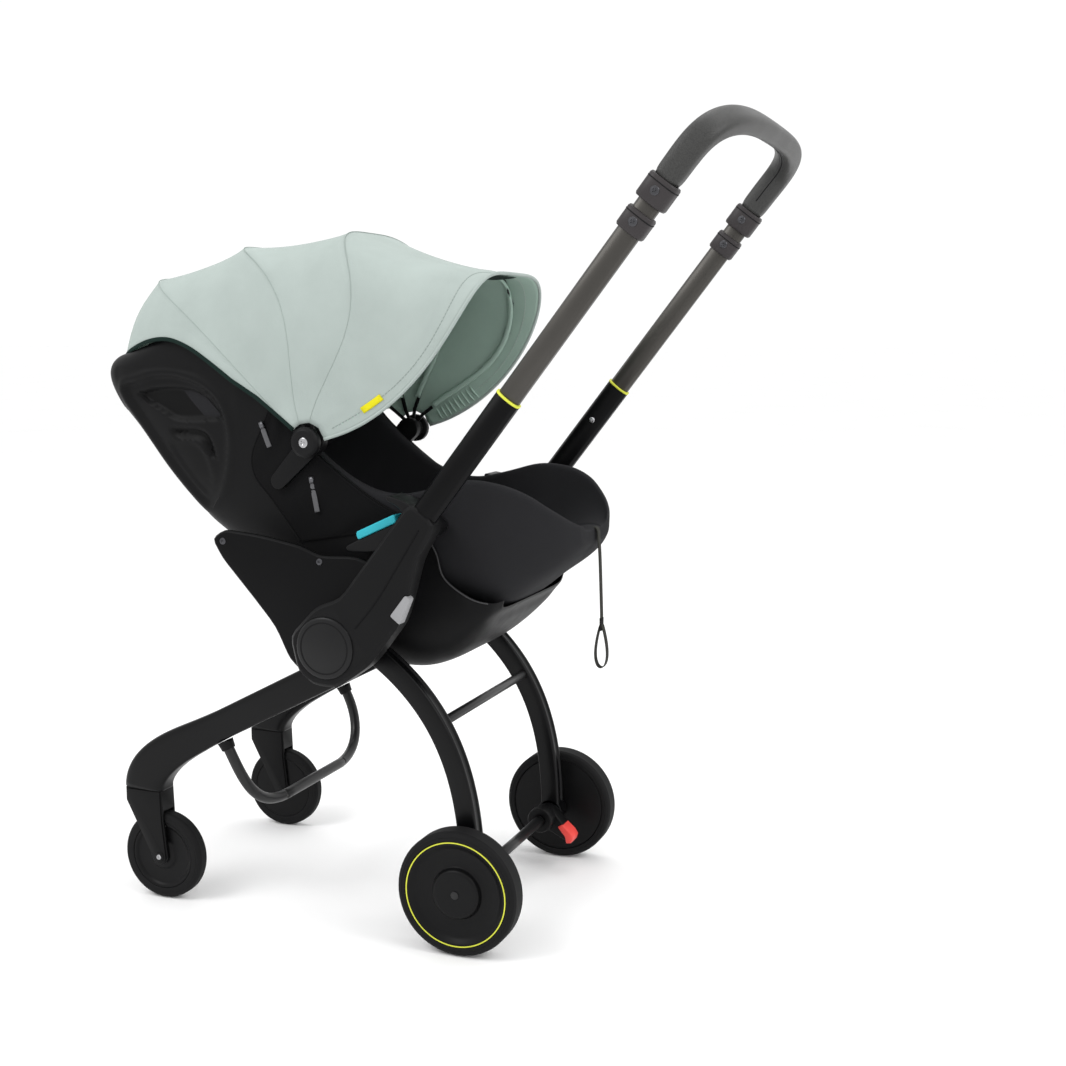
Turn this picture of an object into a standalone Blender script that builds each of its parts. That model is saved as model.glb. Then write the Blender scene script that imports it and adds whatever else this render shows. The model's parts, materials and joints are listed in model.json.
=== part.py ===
"""Car seat stroller: an infant carrier with its own folding legs, wheels and telescopic handle.

X runs across, -Y is the way it travels, +Z is up and the wheels stand on z = 0.
A point (y, z) below lies in the side view. Right pieces are at -X and left pieces at +X.
"""
import math

import bmesh
import bpy
from mathutils import Vector

# Clearance between touching pieces, and between a pin and its bore
GAP = 0.0003
PIN_GAP = 0.0004

# Facets of the round pieces
WHEEL_SIDES = 28
CASTER_SIDES = 24

# Layers across the width, from the shell outwards
SHELL_HALF = 0.130
REAR_LEG_THICK = 0.0230
FRONT_LEG_THICK = 0.0200
PANEL_THICK = 0.0090
ARM_THICK = 0.0315
REAR_LEG_IN = SHELL_HALF + GAP
REAR_LEG_OUT = REAR_LEG_IN + REAR_LEG_THICK
FRONT_LEG_IN = REAR_LEG_OUT + 0.0005
FRONT_LEG_OUT = FRONT_LEG_IN + FRONT_LEG_THICK
PANEL_IN = FRONT_LEG_OUT + 0.0005
PANEL_OUT = PANEL_IN + PANEL_THICK
ARM_IN = PANEL_OUT + 0.0027
ARM_OUT = ARM_IN + ARM_THICK

# Hub, which carries the legs and the handle
HUB = (-0.056, 0.368)
HUB_PIN_RADIUS = 0.0120
LEG_EYE_RADIUS = 0.0350
HUB_CAP_RADIUS = 0.0375
HUB_CAP_THICK = 0.0050
HUB_CAP_PROUD = 0.0025
HUB_RING_RADIUS = 0.0500

# Wheels
REAR_WHEEL_RADIUS = 0.0767
REAR_WHEEL_WIDTH = 0.0320
REAR_WHEEL_IN = REAR_LEG_OUT + 0.0107
REAR_AXLE_Y = 0.100
REAR_TYRE_DEPTH = 0.0110
AXLE_RADIUS = 0.0050
FRONT_WHEEL_RADIUS = 0.0580
FRONT_WHEEL_WIDTH = 0.0204
FRONT_TYRE_DEPTH = 0.0130
CASTER_X = FRONT_LEG_IN - 0.0003
SWIVEL_Y = -0.357
CASTER_TRAIL = 0.023
CASTER_AXLE_RADIUS = 0.0040
COLUMN_FOOT_Z = 0.1480
COLUMN_HALF_DEPTH = 0.0290
COLUMN_HALF_WIDTH = 0.0180
FORK_ARM_THICK = 0.0048
STEM_RADIUS = 0.0060
STEM_LENGTH = 0.0220

# Legs
FRONT_LEG_SLOPE = math.radians(27.3)
FRONT_LEG_DROP = 0.0275
FRONT_LEG_HALF_DEPTH = 0.0190
FRONT_LEG_BEND_Y = -0.290
REAR_LEG_HALF_DEPTH = 0.0130
CROSSBAR_RADIUS = 0.0060
CROSSBAR = (0.0600, 0.2690)
FRONT_BAR_RADIUS = 0.0070
FRONT_BAR_Y = -0.245
FRONT_BAR_CORNER = (SHELL_HALF - 0.010, -0.201, 0.135)

# Brake
PEDAL_REACH = 0.056
PEDAL_WIDTH = 0.0220
COLLAR_WIDTH = 0.0180
COLLAR_RADIUS = 0.0170

# Handle, measured along its own line from the hub
HANDLE_TILT = math.radians(37.7)
HANDLE_X = ARM_IN + 0.0177
SOCKET_START = 0.0800
ARM_END = 0.2090
LOWER_TUBE_END = 0.3750
UPPER_TUBE_START = 0.3150
LOWER_COLLAR = (0.6000, 0.6255)
UPPER_COLLAR = (0.6370, 0.6665)
GRIP_REACH = 0.7630
GRIP_SHOULDER = 0.6920
GRIP_SWEEP = 0.0080
GRIP_POWER = 2.6
LOWER_TUBE_HALF = (0.0110, 0.0158)
TUBE_WALL = 0.0016
UPPER_TUBE_HALF = (
    LOWER_TUBE_HALF[0] - TUBE_WALL - GAP,
    LOWER_TUBE_HALF[1] - TUBE_WALL - GAP,
)
COLLAR_WALL = 0.0040
GRIP_HALF = (0.0140, 0.0155)
GRIP_SWELL = 0.0035

# Release button on each handle arm, along and beside the handle's line
BUTTON_ALONG = (0.0880, 0.1200)
BUTTON_ASIDE = (0.0410, 0.0540)
BUTTON_TRAVEL = 0.0030

# Canopy
PIVOT = (-0.111, 0.606)
BOW_HALF_WIDTH = SHELL_HALF + 0.0140
BOW_EAR_THICK = 0.0030
BOW_EAR_STEP = BOW_EAR_THICK + GAP
BOW_DEPTH = 0.0048
BOW_THICK = 0.0028
BOW_POINTS = 16
BOW_BLEND = 0.0600
EAR_REACH = 0.0270
EAR_RADIUS = 0.0130
KNOB_STEM_RADIUS = 0.0045
KNOB_RADIUS = 0.0190
BRACKET_THICK = 0.0080
FABRIC = 0.0022
FABRIC_LIFT = 0.0026
FABRIC_SAG = 0.0060
FABRIC_POINTS = 20
# Turn about the pivot between a bow and the edge of each fabric panel beside it
SEAM_TURN = 0.40
# Each bow: angle of its crown seen from the side, crown radius, how far its sides droop forwards,
# and the power of its arch, where 2 is an ellipse and more is squarer
BOWS = {
    "bow_a": (143.0, 0.3350, 4.0, 3.2),
    "bow_b": (120.0, 0.2760, 17.0, 3.4),
    "bow_c": (87.0, 0.2550, 18.0, 3.8),
    "bow_d": (52.0, 0.2640, 15.0, 4.6),
}
# The free edge of the canopy in the same terms; its angle falls from the crown to the pivot
RIM_RADIUS = 0.2900
RIM_CROWN = 44.0
RIM_FOOT = 7.0
RIM_POWER = 5.2
# Reach from the pivot at which the fabric's lower corners end, and where it clears the bow ears
FABRIC_FOOT = 0.0240
FOOT_BLEND = 0.0750

# Harness buckle: its button's lower corners, half width, height and travel
BUCKLE_BUTTON = ((0.0000, 0.4782), (0.0200, 0.4770))
BUCKLE_BUTTON_HALF = 0.0120
BUCKLE_BUTTON_TALL = 0.0045
BUCKLE_TRAVEL = 0.0020

# Colours
SAGE = (0.46, 0.56, 0.51)
CHARCOAL = (0.018, 0.018, 0.020)
BLACK = (0.012, 0.012, 0.013)
GRAPHITE = (0.030, 0.030, 0.032)
GRIP_GREY = (0.060, 0.060, 0.062)
STEEL = (0.55, 0.55, 0.56)
CYAN = (0.02, 0.42, 0.55)
RED = (0.72, 0.03, 0.02)
BUTTON_GREY = (0.42, 0.42, 0.43)


def material(name, colour, roughness, metallic=0.0):
    made = bpy.data.materials.get(name)
    if made:
        return made
    made = bpy.data.materials.new(name)
    made.use_nodes = True
    shader = made.node_tree.nodes["Principled BSDF"]
    shader.inputs["Base Color"].default_value = (*colour, 1.0)
    shader.inputs["Roughness"].default_value = roughness
    shader.inputs["Metallic"].default_value = metallic
    return made


def clear_scene():
    for thing in list(bpy.data.objects):
        bpy.data.objects.remove(thing, do_unlink=True)


def add_object(name, mesh, surface=None, origin=(0, 0, 0), parent=None):
    """Link a mesh given in world places, with its origin on the joint or seat that it belongs to."""
    origin = Vector(origin)
    for vertex in mesh.vertices:
        vertex.co -= origin
    made = bpy.data.objects.new(name, mesh)
    bpy.context.scene.collection.objects.link(made)
    made.location = origin
    if surface:
        mesh.materials.append(surface)
    if parent:
        made.parent = parent
        made.matrix_parent_inverse = parent.matrix_world.inverted()
    mesh.shade_smooth()
    mesh.set_sharp_from_angle(angle=math.radians(35))
    return made


def mesh_from(name, build):
    """A mesh filled by the given function, with its normals facing out."""
    work = bmesh.new()
    build(work)
    bmesh.ops.recalc_face_normals(work, faces=work.faces[:])
    mesh = bpy.data.meshes.new(name)
    work.to_mesh(mesh)
    work.free()
    return mesh


def bridge(work, first, second):
    """Faces between two open or closed rows of vertices of one length."""
    for left, right, far_right, far_left in zip(first, first[1:], second[1:], second):
        work.faces.new((left, right, far_right, far_left))


def loft(rings):
    """A closed solid through closed rings of points."""

    def build(work):
        rows = [[work.verts.new(point) for point in ring] for ring in rings]
        for first, second in zip(rows, rows[1:]):
            bridge(work, first + first[:1], second + second[:1])
        work.faces.new(rows[0])
        work.faces.new(rows[-1])

    return build


def tunnel(outer_rings, inner_rings):
    """A closed solid between an outer and an inner row of closed rings, open at both ends."""

    def build(work):
        outer = [[work.verts.new(p) for p in ring] for ring in outer_rings]
        inner = [[work.verts.new(p) for p in ring] for ring in inner_rings]
        for rows in (outer, inner):
            for first, second in zip(rows, rows[1:]):
                bridge(work, first + first[:1], second + second[:1])
        for end in (0, -1):
            bridge(work, outer[end] + outer[end][:1], inner[end] + inner[end][:1])

    return build


def trough(outer_rows, inner_rows):
    """A closed solid between two open sheets of points, such as the walls of a bucket."""

    def build(work):
        outer = [[work.verts.new(p) for p in row] for row in outer_rows]
        inner = [[work.verts.new(p) for p in row] for row in inner_rows]
        for rows in (outer, inner):
            for first, second in zip(rows, rows[1:]):
                bridge(work, first, second)
        for end in (0, -1):
            bridge(work, outer[end], inner[end])
            bridge(work, [row[end] for row in outer], [row[end] for row in inner])

    return build


def turned(profile, sides, turn=0.0):
    """A solid of revolution about X, from (x, radius) points that start and end on the axis."""

    def build(work):
        first = [
            work.verts.new((x, radius * math.sin(turn), radius * math.cos(turn)))
            for x, radius in profile
        ]
        edges = [work.edges.new(pair) for pair in zip(first, first[1:])]
        bmesh.ops.spin(
            work,
            geom=first + edges,
            cent=(0, 0, 0),
            axis=(1, 0, 0),
            angle=math.tau,
            steps=sides,
            use_merge=True,
        )
        bmesh.ops.remove_doubles(work, verts=work.verts[:], dist=1e-6)

    return build


def turned_ring(profile, sides):
    """A wheel's ring from a closed loop of (x, radius) points, with a facet's flat at the bottom."""
    half_facet = math.pi / sides
    loop = [(x, radius / math.cos(half_facet)) for x, radius in profile]
    return turned(loop + loop[:1], sides, half_facet)


def moved(mesh, place, facing=1):
    """Shift a mesh, after turning it to the other side when facing is -1."""
    for vertex in mesh.vertices:
        vertex.co.x *= facing
        vertex.co += Vector(place)
    if facing < 0:
        mesh.flip_normals()
    return mesh


def extruded(outline, x_low, x_high, bevel=0.0, segments=2):
    """A plate with a (y, z) outline between two places across the width, its edges rounded."""

    def build(work):
        low = [work.verts.new((x_low, y, z)) for y, z in outline]
        high = [work.verts.new((x_high, y, z)) for y, z in outline]
        caps = [work.faces.new(low), work.faces.new(high)]
        bridge(work, low + low[:1], high + high[:1])
        if bevel:
            bmesh.ops.recalc_face_normals(work, faces=work.faces[:])
            edges = list({edge for face in caps for edge in face.edges})
            bmesh.ops.bevel(work, geom=edges, offset=bevel, segments=segments, affect="EDGES")

    return build


def arc(centre, radius, start, end, steps):
    """Points of a circular arc in the side view, angles in degrees from +Y towards +Z."""
    points = []
    for index in range(steps + 1):
        angle = math.radians(start + (end - start) * index / steps)
        points.append((centre[0] + radius * math.cos(angle), centre[1] + radius * math.sin(angle)))
    return points


def smooth_path(points, steps):
    """A smooth curve through points of any dimension, with this many steps between each pair."""
    points = [Vector(p) for p in points]
    ends = [points[0] * 2 - points[1]] + points + [points[-1] * 2 - points[-2]]
    path = []
    for before, start, end, after in zip(ends, ends[1:], ends[2:], ends[3:]):
        for index in range(steps):
            t = index / steps
            path.append(
                (
                    start * 2
                    + (end - before) * t
                    + (before * 2 - start * 5 + end * 4 - after) * t**2
                    + (start * 3 - before - end * 3 + after) * t**3
                )
                / 2
            )
    return path + [points[-1]]


def rounded(angle, power):
    """A point on a unit superellipse."""
    c = math.cos(angle)
    s = math.sin(angle)
    return math.copysign(abs(c) ** (2 / power), c), math.copysign(abs(s) ** (2 / power), s)


def section(centre, across, along, half_across, half_along, sides, power):
    """A ring of points, rounded or boxy by its power, spanned by two directions."""
    ring = []
    for index in range(sides):
        u, v = rounded(math.tau * (index + 0.5) / sides, power)
        ring.append(centre + across * (u * half_across) + along * (v * half_along))
    return ring


def swept(path, halves, sides=12, power=2.0, across=Vector((1, 0, 0))):
    """Rings along a path: across stays as near the given direction as the path allows."""
    rings = []
    for index, point in enumerate(path):
        before = path[max(index - 1, 0)]
        after = path[min(index + 1, len(path) - 1)]
        tangent = (after - before).normalized()
        along = tangent.cross(across).normalized()
        level = along.cross(tangent).normalized()
        half = halves[index] if isinstance(halves, list) else halves
        rings.append(section(point, level, along, half[0], half[1], sides, power))
    return rings


def cutter(name, mesh):
    """A helper solid that the build leaves out."""
    made = add_object(name, mesh)
    made.hide_render = True
    made.display_type = "WIRE"
    return made


def combine(target, other, operation):
    change = target.modifiers.new(operation.lower() + "_" + other.name, "BOOLEAN")
    change.operation = operation
    change.object = other


def round_cutter(name, x_low, x_high, centre, radius, sides=24):
    profile = [(x_low, 0), (x_low, radius), (x_high, radius), (x_high, 0)]
    return cutter(name, moved(mesh_from(name, turned(profile, sides)), (0, *centre)))


def handle_point(along, aside=0.0, x=HANDLE_X):
    """A place on the handle: along its line from the hub, and aside towards the pusher's knees."""
    y = HUB[0] + along * math.sin(HANDLE_TILT) + aside * math.cos(HANDLE_TILT)
    z = HUB[1] + along * math.cos(HANDLE_TILT) - aside * math.sin(HANDLE_TILT)
    return Vector((x, y, z))


def handle_outline(points):
    return [tuple(handle_point(along, aside))[1:] for along, aside in points]


def two_sides():
    """Side name and facing of the left and the right."""
    return (("left", 1), ("right", -1))


# Wheels


def rear_wheels():
    half = REAR_WHEEL_WIDTH / 2
    middle = REAR_WHEEL_IN + half
    seat = REAR_WHEEL_RADIUS - REAR_TYRE_DEPTH
    shoulder = 0.0060
    tyre_profile = [
        (half, seat),
        (half, REAR_WHEEL_RADIUS - shoulder),
        (half - shoulder, REAR_WHEEL_RADIUS),
        (shoulder - half, REAR_WHEEL_RADIUS),
        (-half, REAR_WHEEL_RADIUS - shoulder),
        (-half, seat),
    ]
    bore = AXLE_RADIUS + PIN_GAP
    rim = seat - GAP
    face = half - 0.0015
    dish = half - 0.0040
    disc_profile = [
        (face, rim),
        (face, rim - 0.0060),
        (dish, rim - 0.0085),
        (dish, 0.0225),
        (half, 0.0200),
        (half, bore),
        (-half - 0.0080, bore),
        (-half - 0.0080, 0.0150),
        (-half + 0.0060, 0.0180),
        (-half + 0.0060, rim - 0.0060),
        (-half + 0.0010, rim),
    ]
    for side, facing in two_sides():
        place = (facing * middle, REAR_AXLE_Y, REAR_WHEEL_RADIUS)
        rubber = moved(mesh_from("rear_tyre", turned_ring(tyre_profile, WHEEL_SIDES)), place, facing)
        add_object(f"rear_tyre_{side}", rubber, material("rubber", BLACK, 0.75), place)
        disc = moved(mesh_from("rear_disc", turned_ring(disc_profile, WHEEL_SIDES)), place, facing)
        add_object(f"rear_wheel_{side}", disc, material("wheel_plastic", GRAPHITE, 0.45), place)


def front_wheels():
    half = FRONT_WHEEL_WIDTH / 2
    seat = FRONT_WHEEL_RADIUS - FRONT_TYRE_DEPTH
    shoulder = 0.0050
    tyre_profile = [
        (half, seat),
        (half, FRONT_WHEEL_RADIUS - shoulder),
        (half - shoulder, FRONT_WHEEL_RADIUS),
        (shoulder - half, FRONT_WHEEL_RADIUS),
        (-half, FRONT_WHEEL_RADIUS - shoulder),
        (-half, seat),
    ]
    bore = CASTER_AXLE_RADIUS + PIN_GAP
    rim = seat - GAP
    face = half - 0.0010
    web = half - 0.0045
    disc_profile = [
        (face, rim),
        (face, rim - 0.0050),
        (web, rim - 0.0075),
        (web, 0.0150),
        (half, 0.0130),
        (half, bore),
        (-half, bore),
        (-half, rim),
    ]
    for side, facing in two_sides():
        place = (facing * CASTER_X, SWIVEL_Y + CASTER_TRAIL, FRONT_WHEEL_RADIUS)
        rubber = moved(mesh_from("front_tyre", turned_ring(tyre_profile, CASTER_SIDES)), place, facing)
        add_object(f"front_tyre_{side}", rubber, material("rubber", BLACK, 0.75), place)
        disc = moved(mesh_from("front_disc", turned_ring(disc_profile, CASTER_SIDES)), place, facing)
        add_object(f"front_wheel_{side}", disc, material("wheel_plastic", GRAPHITE, 0.45), place)


def casters():
    """A two-sided fork that swivels in the foot of each front leg, with its axle."""
    axle_y = SWIVEL_Y + CASTER_TRAIL
    slot_half = FRONT_WHEEL_WIDTH / 2 + 0.0008
    outer_half = slot_half + FORK_ARM_THICK
    top = COLUMN_FOOT_Z - GAP
    crown = FRONT_WHEEL_RADIUS * 2 + 0.0025
    cap = 0.0115
    outline = (
        [(SWIVEL_Y - 0.0270, top), (SWIVEL_Y - 0.0270, top - 0.0180)]
        + arc((axle_y, FRONT_WHEEL_RADIUS), cap, 200, 350, 7)
        + [(SWIVEL_Y + 0.0290, crown - 0.012), (SWIVEL_Y + 0.0275, top)]
    )
    for side, facing in two_sides():
        centre = facing * CASTER_X
        origin = (centre, SWIVEL_Y, COLUMN_FOOT_Z)
        plate = extruded(outline, centre - outer_half, centre + outer_half, 0.0022)
        fork = add_object(
            f"caster_fork_{side}",
            mesh_from("fork", plate),
            material("moulding", GRAPHITE, 0.42),
            origin,
        )
        slot_outline = [
            (SWIVEL_Y - 0.060, -0.010),
            (SWIVEL_Y + 0.090, -0.010),
            (SWIVEL_Y + 0.090, crown - 0.012),
            (axle_y + 0.012, crown),
            (axle_y - 0.030, crown),
            (SWIVEL_Y - 0.060, crown - 0.020),
        ]
        slot_mesh = mesh_from("slot", extruded(slot_outline, centre - slot_half, centre + slot_half))
        combine(fork, cutter(f"cut_wheel_slot_{side}", slot_mesh), "DIFFERENCE")
        stem_path = [
            Vector((centre, SWIVEL_Y, top - 0.004)),
            Vector((centre, SWIVEL_Y, top + STEM_LENGTH)),
        ]
        stem = cutter(
            f"add_stem_{side}", mesh_from("stem", loft(swept(stem_path, (STEM_RADIUS, STEM_RADIUS))))
        )
        combine(fork, stem, "UNION")
        reach = outer_half + 0.0016
        head = 0.0070
        pin_profile = [
            (-outer_half - 0.0005, 0),
            (-outer_half - 0.0005, CASTER_AXLE_RADIUS),
            (outer_half - 0.0010, CASTER_AXLE_RADIUS),
            (outer_half - 0.0010, head),
            (reach, head - 0.0008),
            (reach, 0),
        ]
        place = (centre, axle_y, FRONT_WHEEL_RADIUS)
        pin = moved(mesh_from("caster_axle", turned(pin_profile, 12)), place, facing)
        combine(fork, cutter(f"add_caster_axle_{side}", pin), "UNION")


# Legs


def front_leg_path():
    """Centres of the front leg in the side view, from under the hub to the foot of the column."""
    back = (-math.cos(FRONT_LEG_SLOPE), -math.sin(FRONT_LEG_SLOPE))
    start = (
        HUB[0] + FRONT_LEG_DROP * math.sin(FRONT_LEG_SLOPE),
        HUB[1] - FRONT_LEG_DROP * math.cos(FRONT_LEG_SLOPE),
    )
    run = (FRONT_LEG_BEND_Y - start[0]) / back[0]
    bend = (start[0] + back[0] * run, start[1] + back[1] * run)
    shares = (0, 0.12, 0.5, (FRONT_BAR_Y - start[0]) / (bend[0] - start[0]))
    straight = [
        (start[0] + (bend[0] - start[0]) * t, start[1] + (bend[1] - start[1]) * t) for t in shares
    ]
    foot = (SWIVEL_Y, COLUMN_FOOT_Z)
    reach = 0.030
    knee = [
        Vector(bend),
        Vector(bend) + Vector(back) * reach,
        Vector(foot) + Vector((0, reach)),
        Vector(foot),
    ]
    curve = []
    for index in range(6):
        t = index / 5
        curve.append(
            tuple(
                knee[0] * (1 - t) ** 3
                + knee[1] * 3 * t * (1 - t) ** 2
                + knee[2] * 3 * t**2 * (1 - t)
                + knee[3] * t**3
            )
        )
    return straight + curve


def front_leg_section(y):
    """Place across the width, half width and half depth of the front leg at one place along it."""
    route = front_leg_path()
    share = (y - route[0][0]) / (route[-1][0] - route[0][0])
    drift = max(0.0, (share - 0.20) / 0.80)
    grow = max(0.0, (share - 0.60) / 0.40) ** 1.5
    hub_x = (FRONT_LEG_IN + FRONT_LEG_OUT) / 2
    half_x = FRONT_LEG_THICK / 2
    return (
        hub_x + (CASTER_X - hub_x) * drift,
        half_x + (COLUMN_HALF_WIDTH - half_x) * grow,
        FRONT_LEG_HALF_DEPTH + (COLUMN_HALF_DEPTH - FRONT_LEG_HALF_DEPTH) * grow,
    )


def front_legs():
    route = front_leg_path()
    hub_x = (FRONT_LEG_IN + FRONT_LEG_OUT) / 2
    for side, facing in two_sides():
        path = []
        halves = []
        for y, z in route:
            x, half_width, half_depth = front_leg_section(y)
            path.append(Vector((facing * x, y, z)))
            halves.append((half_width, half_depth))
        rings = swept(path, halves, 8, 5.0)
        for point in rings[-1]:
            point.z = COLUMN_FOOT_Z
        hub_place = (facing * hub_x, *HUB)
        leg = add_object(
            f"front_leg_{side}",
            mesh_from("front_leg", loft(rings)),
            material("leg_metal", BLACK, 0.3, 0.6),
            hub_place,
        )
        eye = round_cutter(
            f"add_front_eye_{side}",
            min(facing * FRONT_LEG_IN, facing * FRONT_LEG_OUT),
            max(facing * FRONT_LEG_IN, facing * FRONT_LEG_OUT),
            HUB,
            LEG_EYE_RADIUS,
            24,
        )
        combine(leg, eye, "UNION")
        bore = round_cutter(
            f"cut_front_eye_{side}",
            min(facing * 0.12, facing * 0.20),
            max(facing * 0.12, facing * 0.20),
            HUB,
            HUB_PIN_RADIUS + PIN_GAP,
            16,
        )
        combine(leg, bore, "DIFFERENCE")
        stem_radius = STEM_RADIUS + PIN_GAP
        bore_path = [
            Vector((facing * CASTER_X, SWIVEL_Y, COLUMN_FOOT_Z - 0.01)),
            Vector((facing * CASTER_X, SWIVEL_Y, COLUMN_FOOT_Z + STEM_LENGTH + GAP)),
        ]
        socket = mesh_from("socket", loft(swept(bore_path, (stem_radius, stem_radius), 10)))
        combine(leg, cutter(f"cut_stem_{side}", socket), "DIFFERENCE")


def rear_leg_path():
    """Centres of the rear leg in the side view, one bow from the hub down to the axle."""
    knots = [Vector(HUB), Vector((0.070, 0.300)), Vector((0.100, 0.200)), Vector((REAR_AXLE_Y, REAR_WHEEL_RADIUS))]
    path = []
    for index in range(9):
        t = index / 8
        path.append(
            knots[0] * (1 - t) ** 3
            + knots[1] * 3 * t * (1 - t) ** 2
            + knots[2] * 3 * t**2 * (1 - t)
            + knots[3] * t**3
        )
    return path


def rear_legs():
    middle = (REAR_LEG_IN + REAR_LEG_OUT) / 2
    half = REAR_LEG_THICK / 2
    foot_radius = 0.0175
    for side, facing in two_sides():
        path = [Vector((facing * middle, y, z)) for y, z in rear_leg_path()]
        rings = swept(path, (half, REAR_LEG_HALF_DEPTH), 8, 6.0)
        leg = add_object(
            f"rear_leg_{side}",
            mesh_from("rear_leg", loft(rings)),
            material("leg_metal", BLACK, 0.3, 0.6),
            (facing * middle, *HUB),
        )
        low = min(facing * REAR_LEG_IN, facing * REAR_LEG_OUT)
        high = max(facing * REAR_LEG_IN, facing * REAR_LEG_OUT)
        axle = (REAR_AXLE_Y, REAR_WHEEL_RADIUS)
        combine(leg, round_cutter(f"add_rear_eye_{side}", low, high, HUB, LEG_EYE_RADIUS, 24), "UNION")
        combine(leg, round_cutter(f"add_rear_foot_{side}", low, high, axle, foot_radius, 16), "UNION")
        bore = round_cutter(
            f"cut_rear_eye_{side}", low - 0.01, high + 0.01, HUB, HUB_PIN_RADIUS + PIN_GAP, 16
        )
        combine(leg, bore, "DIFFERENCE")
        hole = round_cutter(
            f"cut_rear_axle_{side}", low - 0.01, high + 0.01, axle, AXLE_RADIUS + PIN_GAP, 12
        )
        combine(leg, hole, "DIFFERENCE")


def rear_axle_group():
    """The axle through both rear legs and wheels, its collars and the brake pedal on it."""
    place = (0, REAR_AXLE_Y, REAR_WHEEL_RADIUS)
    end = REAR_WHEEL_IN + REAR_WHEEL_WIDTH + 0.0010
    steel = material("steel", STEEL, 0.3, 1.0)
    rod_profile = [(-end, 0), (-end, AXLE_RADIUS), (end, AXLE_RADIUS), (end, 0)]
    rod = moved(mesh_from("rear_axle", turned(rod_profile, 12)), place)
    add_object("rear_axle", rod, material("axle_metal", GRAPHITE, 0.35, 0.8), place)

    bar_end = REAR_LEG_IN - GAP
    bar_profile = [
        (-bar_end, 0),
        (-bar_end, CROSSBAR_RADIUS),
        (bar_end, CROSSBAR_RADIUS),
        (bar_end, 0),
    ]
    bar = moved(mesh_from("crossbar", turned(bar_profile, 12)), (0, *CROSSBAR))
    add_object("rear_crossbar", bar, material("leg_metal", BLACK, 0.3, 0.6), (0, *CROSSBAR))

    bore = AXLE_RADIUS + PIN_GAP
    collar_profile = [
        (-COLLAR_WIDTH / 2, bore),
        (COLLAR_WIDTH / 2, bore),
        (COLLAR_WIDTH / 2, COLLAR_RADIUS - 0.0015),
        (COLLAR_WIDTH / 2 - 0.0015, COLLAR_RADIUS),
        (-COLLAR_WIDTH / 2, COLLAR_RADIUS),
    ]
    left_x = REAR_LEG_IN - GAP - COLLAR_WIDTH / 2
    right_x = -(REAR_LEG_IN - 2 * GAP - PEDAL_WIDTH - COLLAR_WIDTH / 2)
    for side, facing, x in (("left", -1, left_x), ("right", 1, right_x)):
        at = (x, REAR_AXLE_Y, REAR_WHEEL_RADIUS)
        collar = moved(mesh_from("collar", turned_ring(collar_profile, 12)), at, facing)
        add_object(f"brake_collar_{side}", collar, material("moulding", GRAPHITE, 0.42), at)

    inner = -(REAR_LEG_IN - GAP)
    lever = arc((0, 0), 0.0140, 75, 255, 8) + [
        (0.0300, -0.0300),
        (PEDAL_REACH - 0.004, -0.0345),
        (PEDAL_REACH, -0.0290),
        (PEDAL_REACH - 0.003, -0.0220),
        (0.0260, -0.0060),
        (0.0120, 0.0100),
    ]
    outline = [(REAR_AXLE_Y + y, REAR_WHEEL_RADIUS + z) for y, z in lever]
    mesh = mesh_from("pedal", extruded(outline, inner, inner + PEDAL_WIDTH, 0.0020))
    pedal = add_object("brake_pedal", mesh, material("pedal_red", RED, 0.4), place)
    hole = round_cutter(
        "cut_pedal", inner - 0.01, inner + PEDAL_WIDTH + 0.01, place[1:], bore, 16
    )
    combine(pedal, hole, "DIFFERENCE")


def front_bar():
    """The bar that hangs under the front legs, square to their undersides where it meets them."""
    path = front_leg_path()
    start = path[0]
    slope = math.tan(FRONT_LEG_SLOPE)
    centre_z = start[1] + (FRONT_BAR_Y - start[0]) * slope
    down = Vector((0, math.sin(FRONT_LEG_SLOPE), -math.cos(FRONT_LEG_SLOPE)))
    x, _, depth = front_leg_section(FRONT_BAR_Y)
    seat = Vector((x, FRONT_BAR_Y, centre_z)) + down * (depth + 2 * GAP)
    corner = Vector(FRONT_BAR_CORNER)
    near = [
        seat,
        seat + down * 0.010,
        seat + down * 0.026 + Vector((-0.004, 0.006, 0)),
        seat.lerp(corner, 0.72) + down * 0.006,
        corner + Vector((0.0, -0.006, 0.008)),
        corner + Vector((-0.022, 0.004, -0.003)),
        Vector((0.060, corner.y + 0.006, corner.z - 0.004)),
    ]
    far = [Vector((-p.x, p.y, p.z)) for p in reversed(near)]
    route = smooth_path(near + far, 2)
    spline_data = bpy.data.curves.new("front_bar", "CURVE")
    spline_data.dimensions = "3D"
    spline = spline_data.splines.new("POLY")
    spline.points.add(len(route) - 1)
    for point, place in zip(spline.points, route):
        point.co = (*place, 1)
    spline_data.bevel_depth = FRONT_BAR_RADIUS
    spline_data.bevel_resolution = 2
    spline_data.use_fill_caps = True
    spline_data.materials.append(material("leg_metal", BLACK, 0.3, 0.6))
    made = bpy.data.objects.new("front_bar", spline_data)
    bpy.context.scene.collection.objects.link(made)


# Handle


def hub_pins():
    """The pins that stand out of the shell and carry legs, panel and handle arm."""
    start = SHELL_HALF - 0.0095
    end = ARM_OUT - HUB_CAP_THICK - GAP
    profile = [(start, 0), (start, HUB_PIN_RADIUS), (end, HUB_PIN_RADIUS), (end, 0)]
    for side, facing in two_sides():
        mesh = moved(mesh_from("hub_pin", turned(profile, 16)), (0, *HUB), facing)
        add_object(f"hub_pin_{side}", mesh, material("steel", STEEL, 0.3, 1.0), (0, *HUB))


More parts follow.
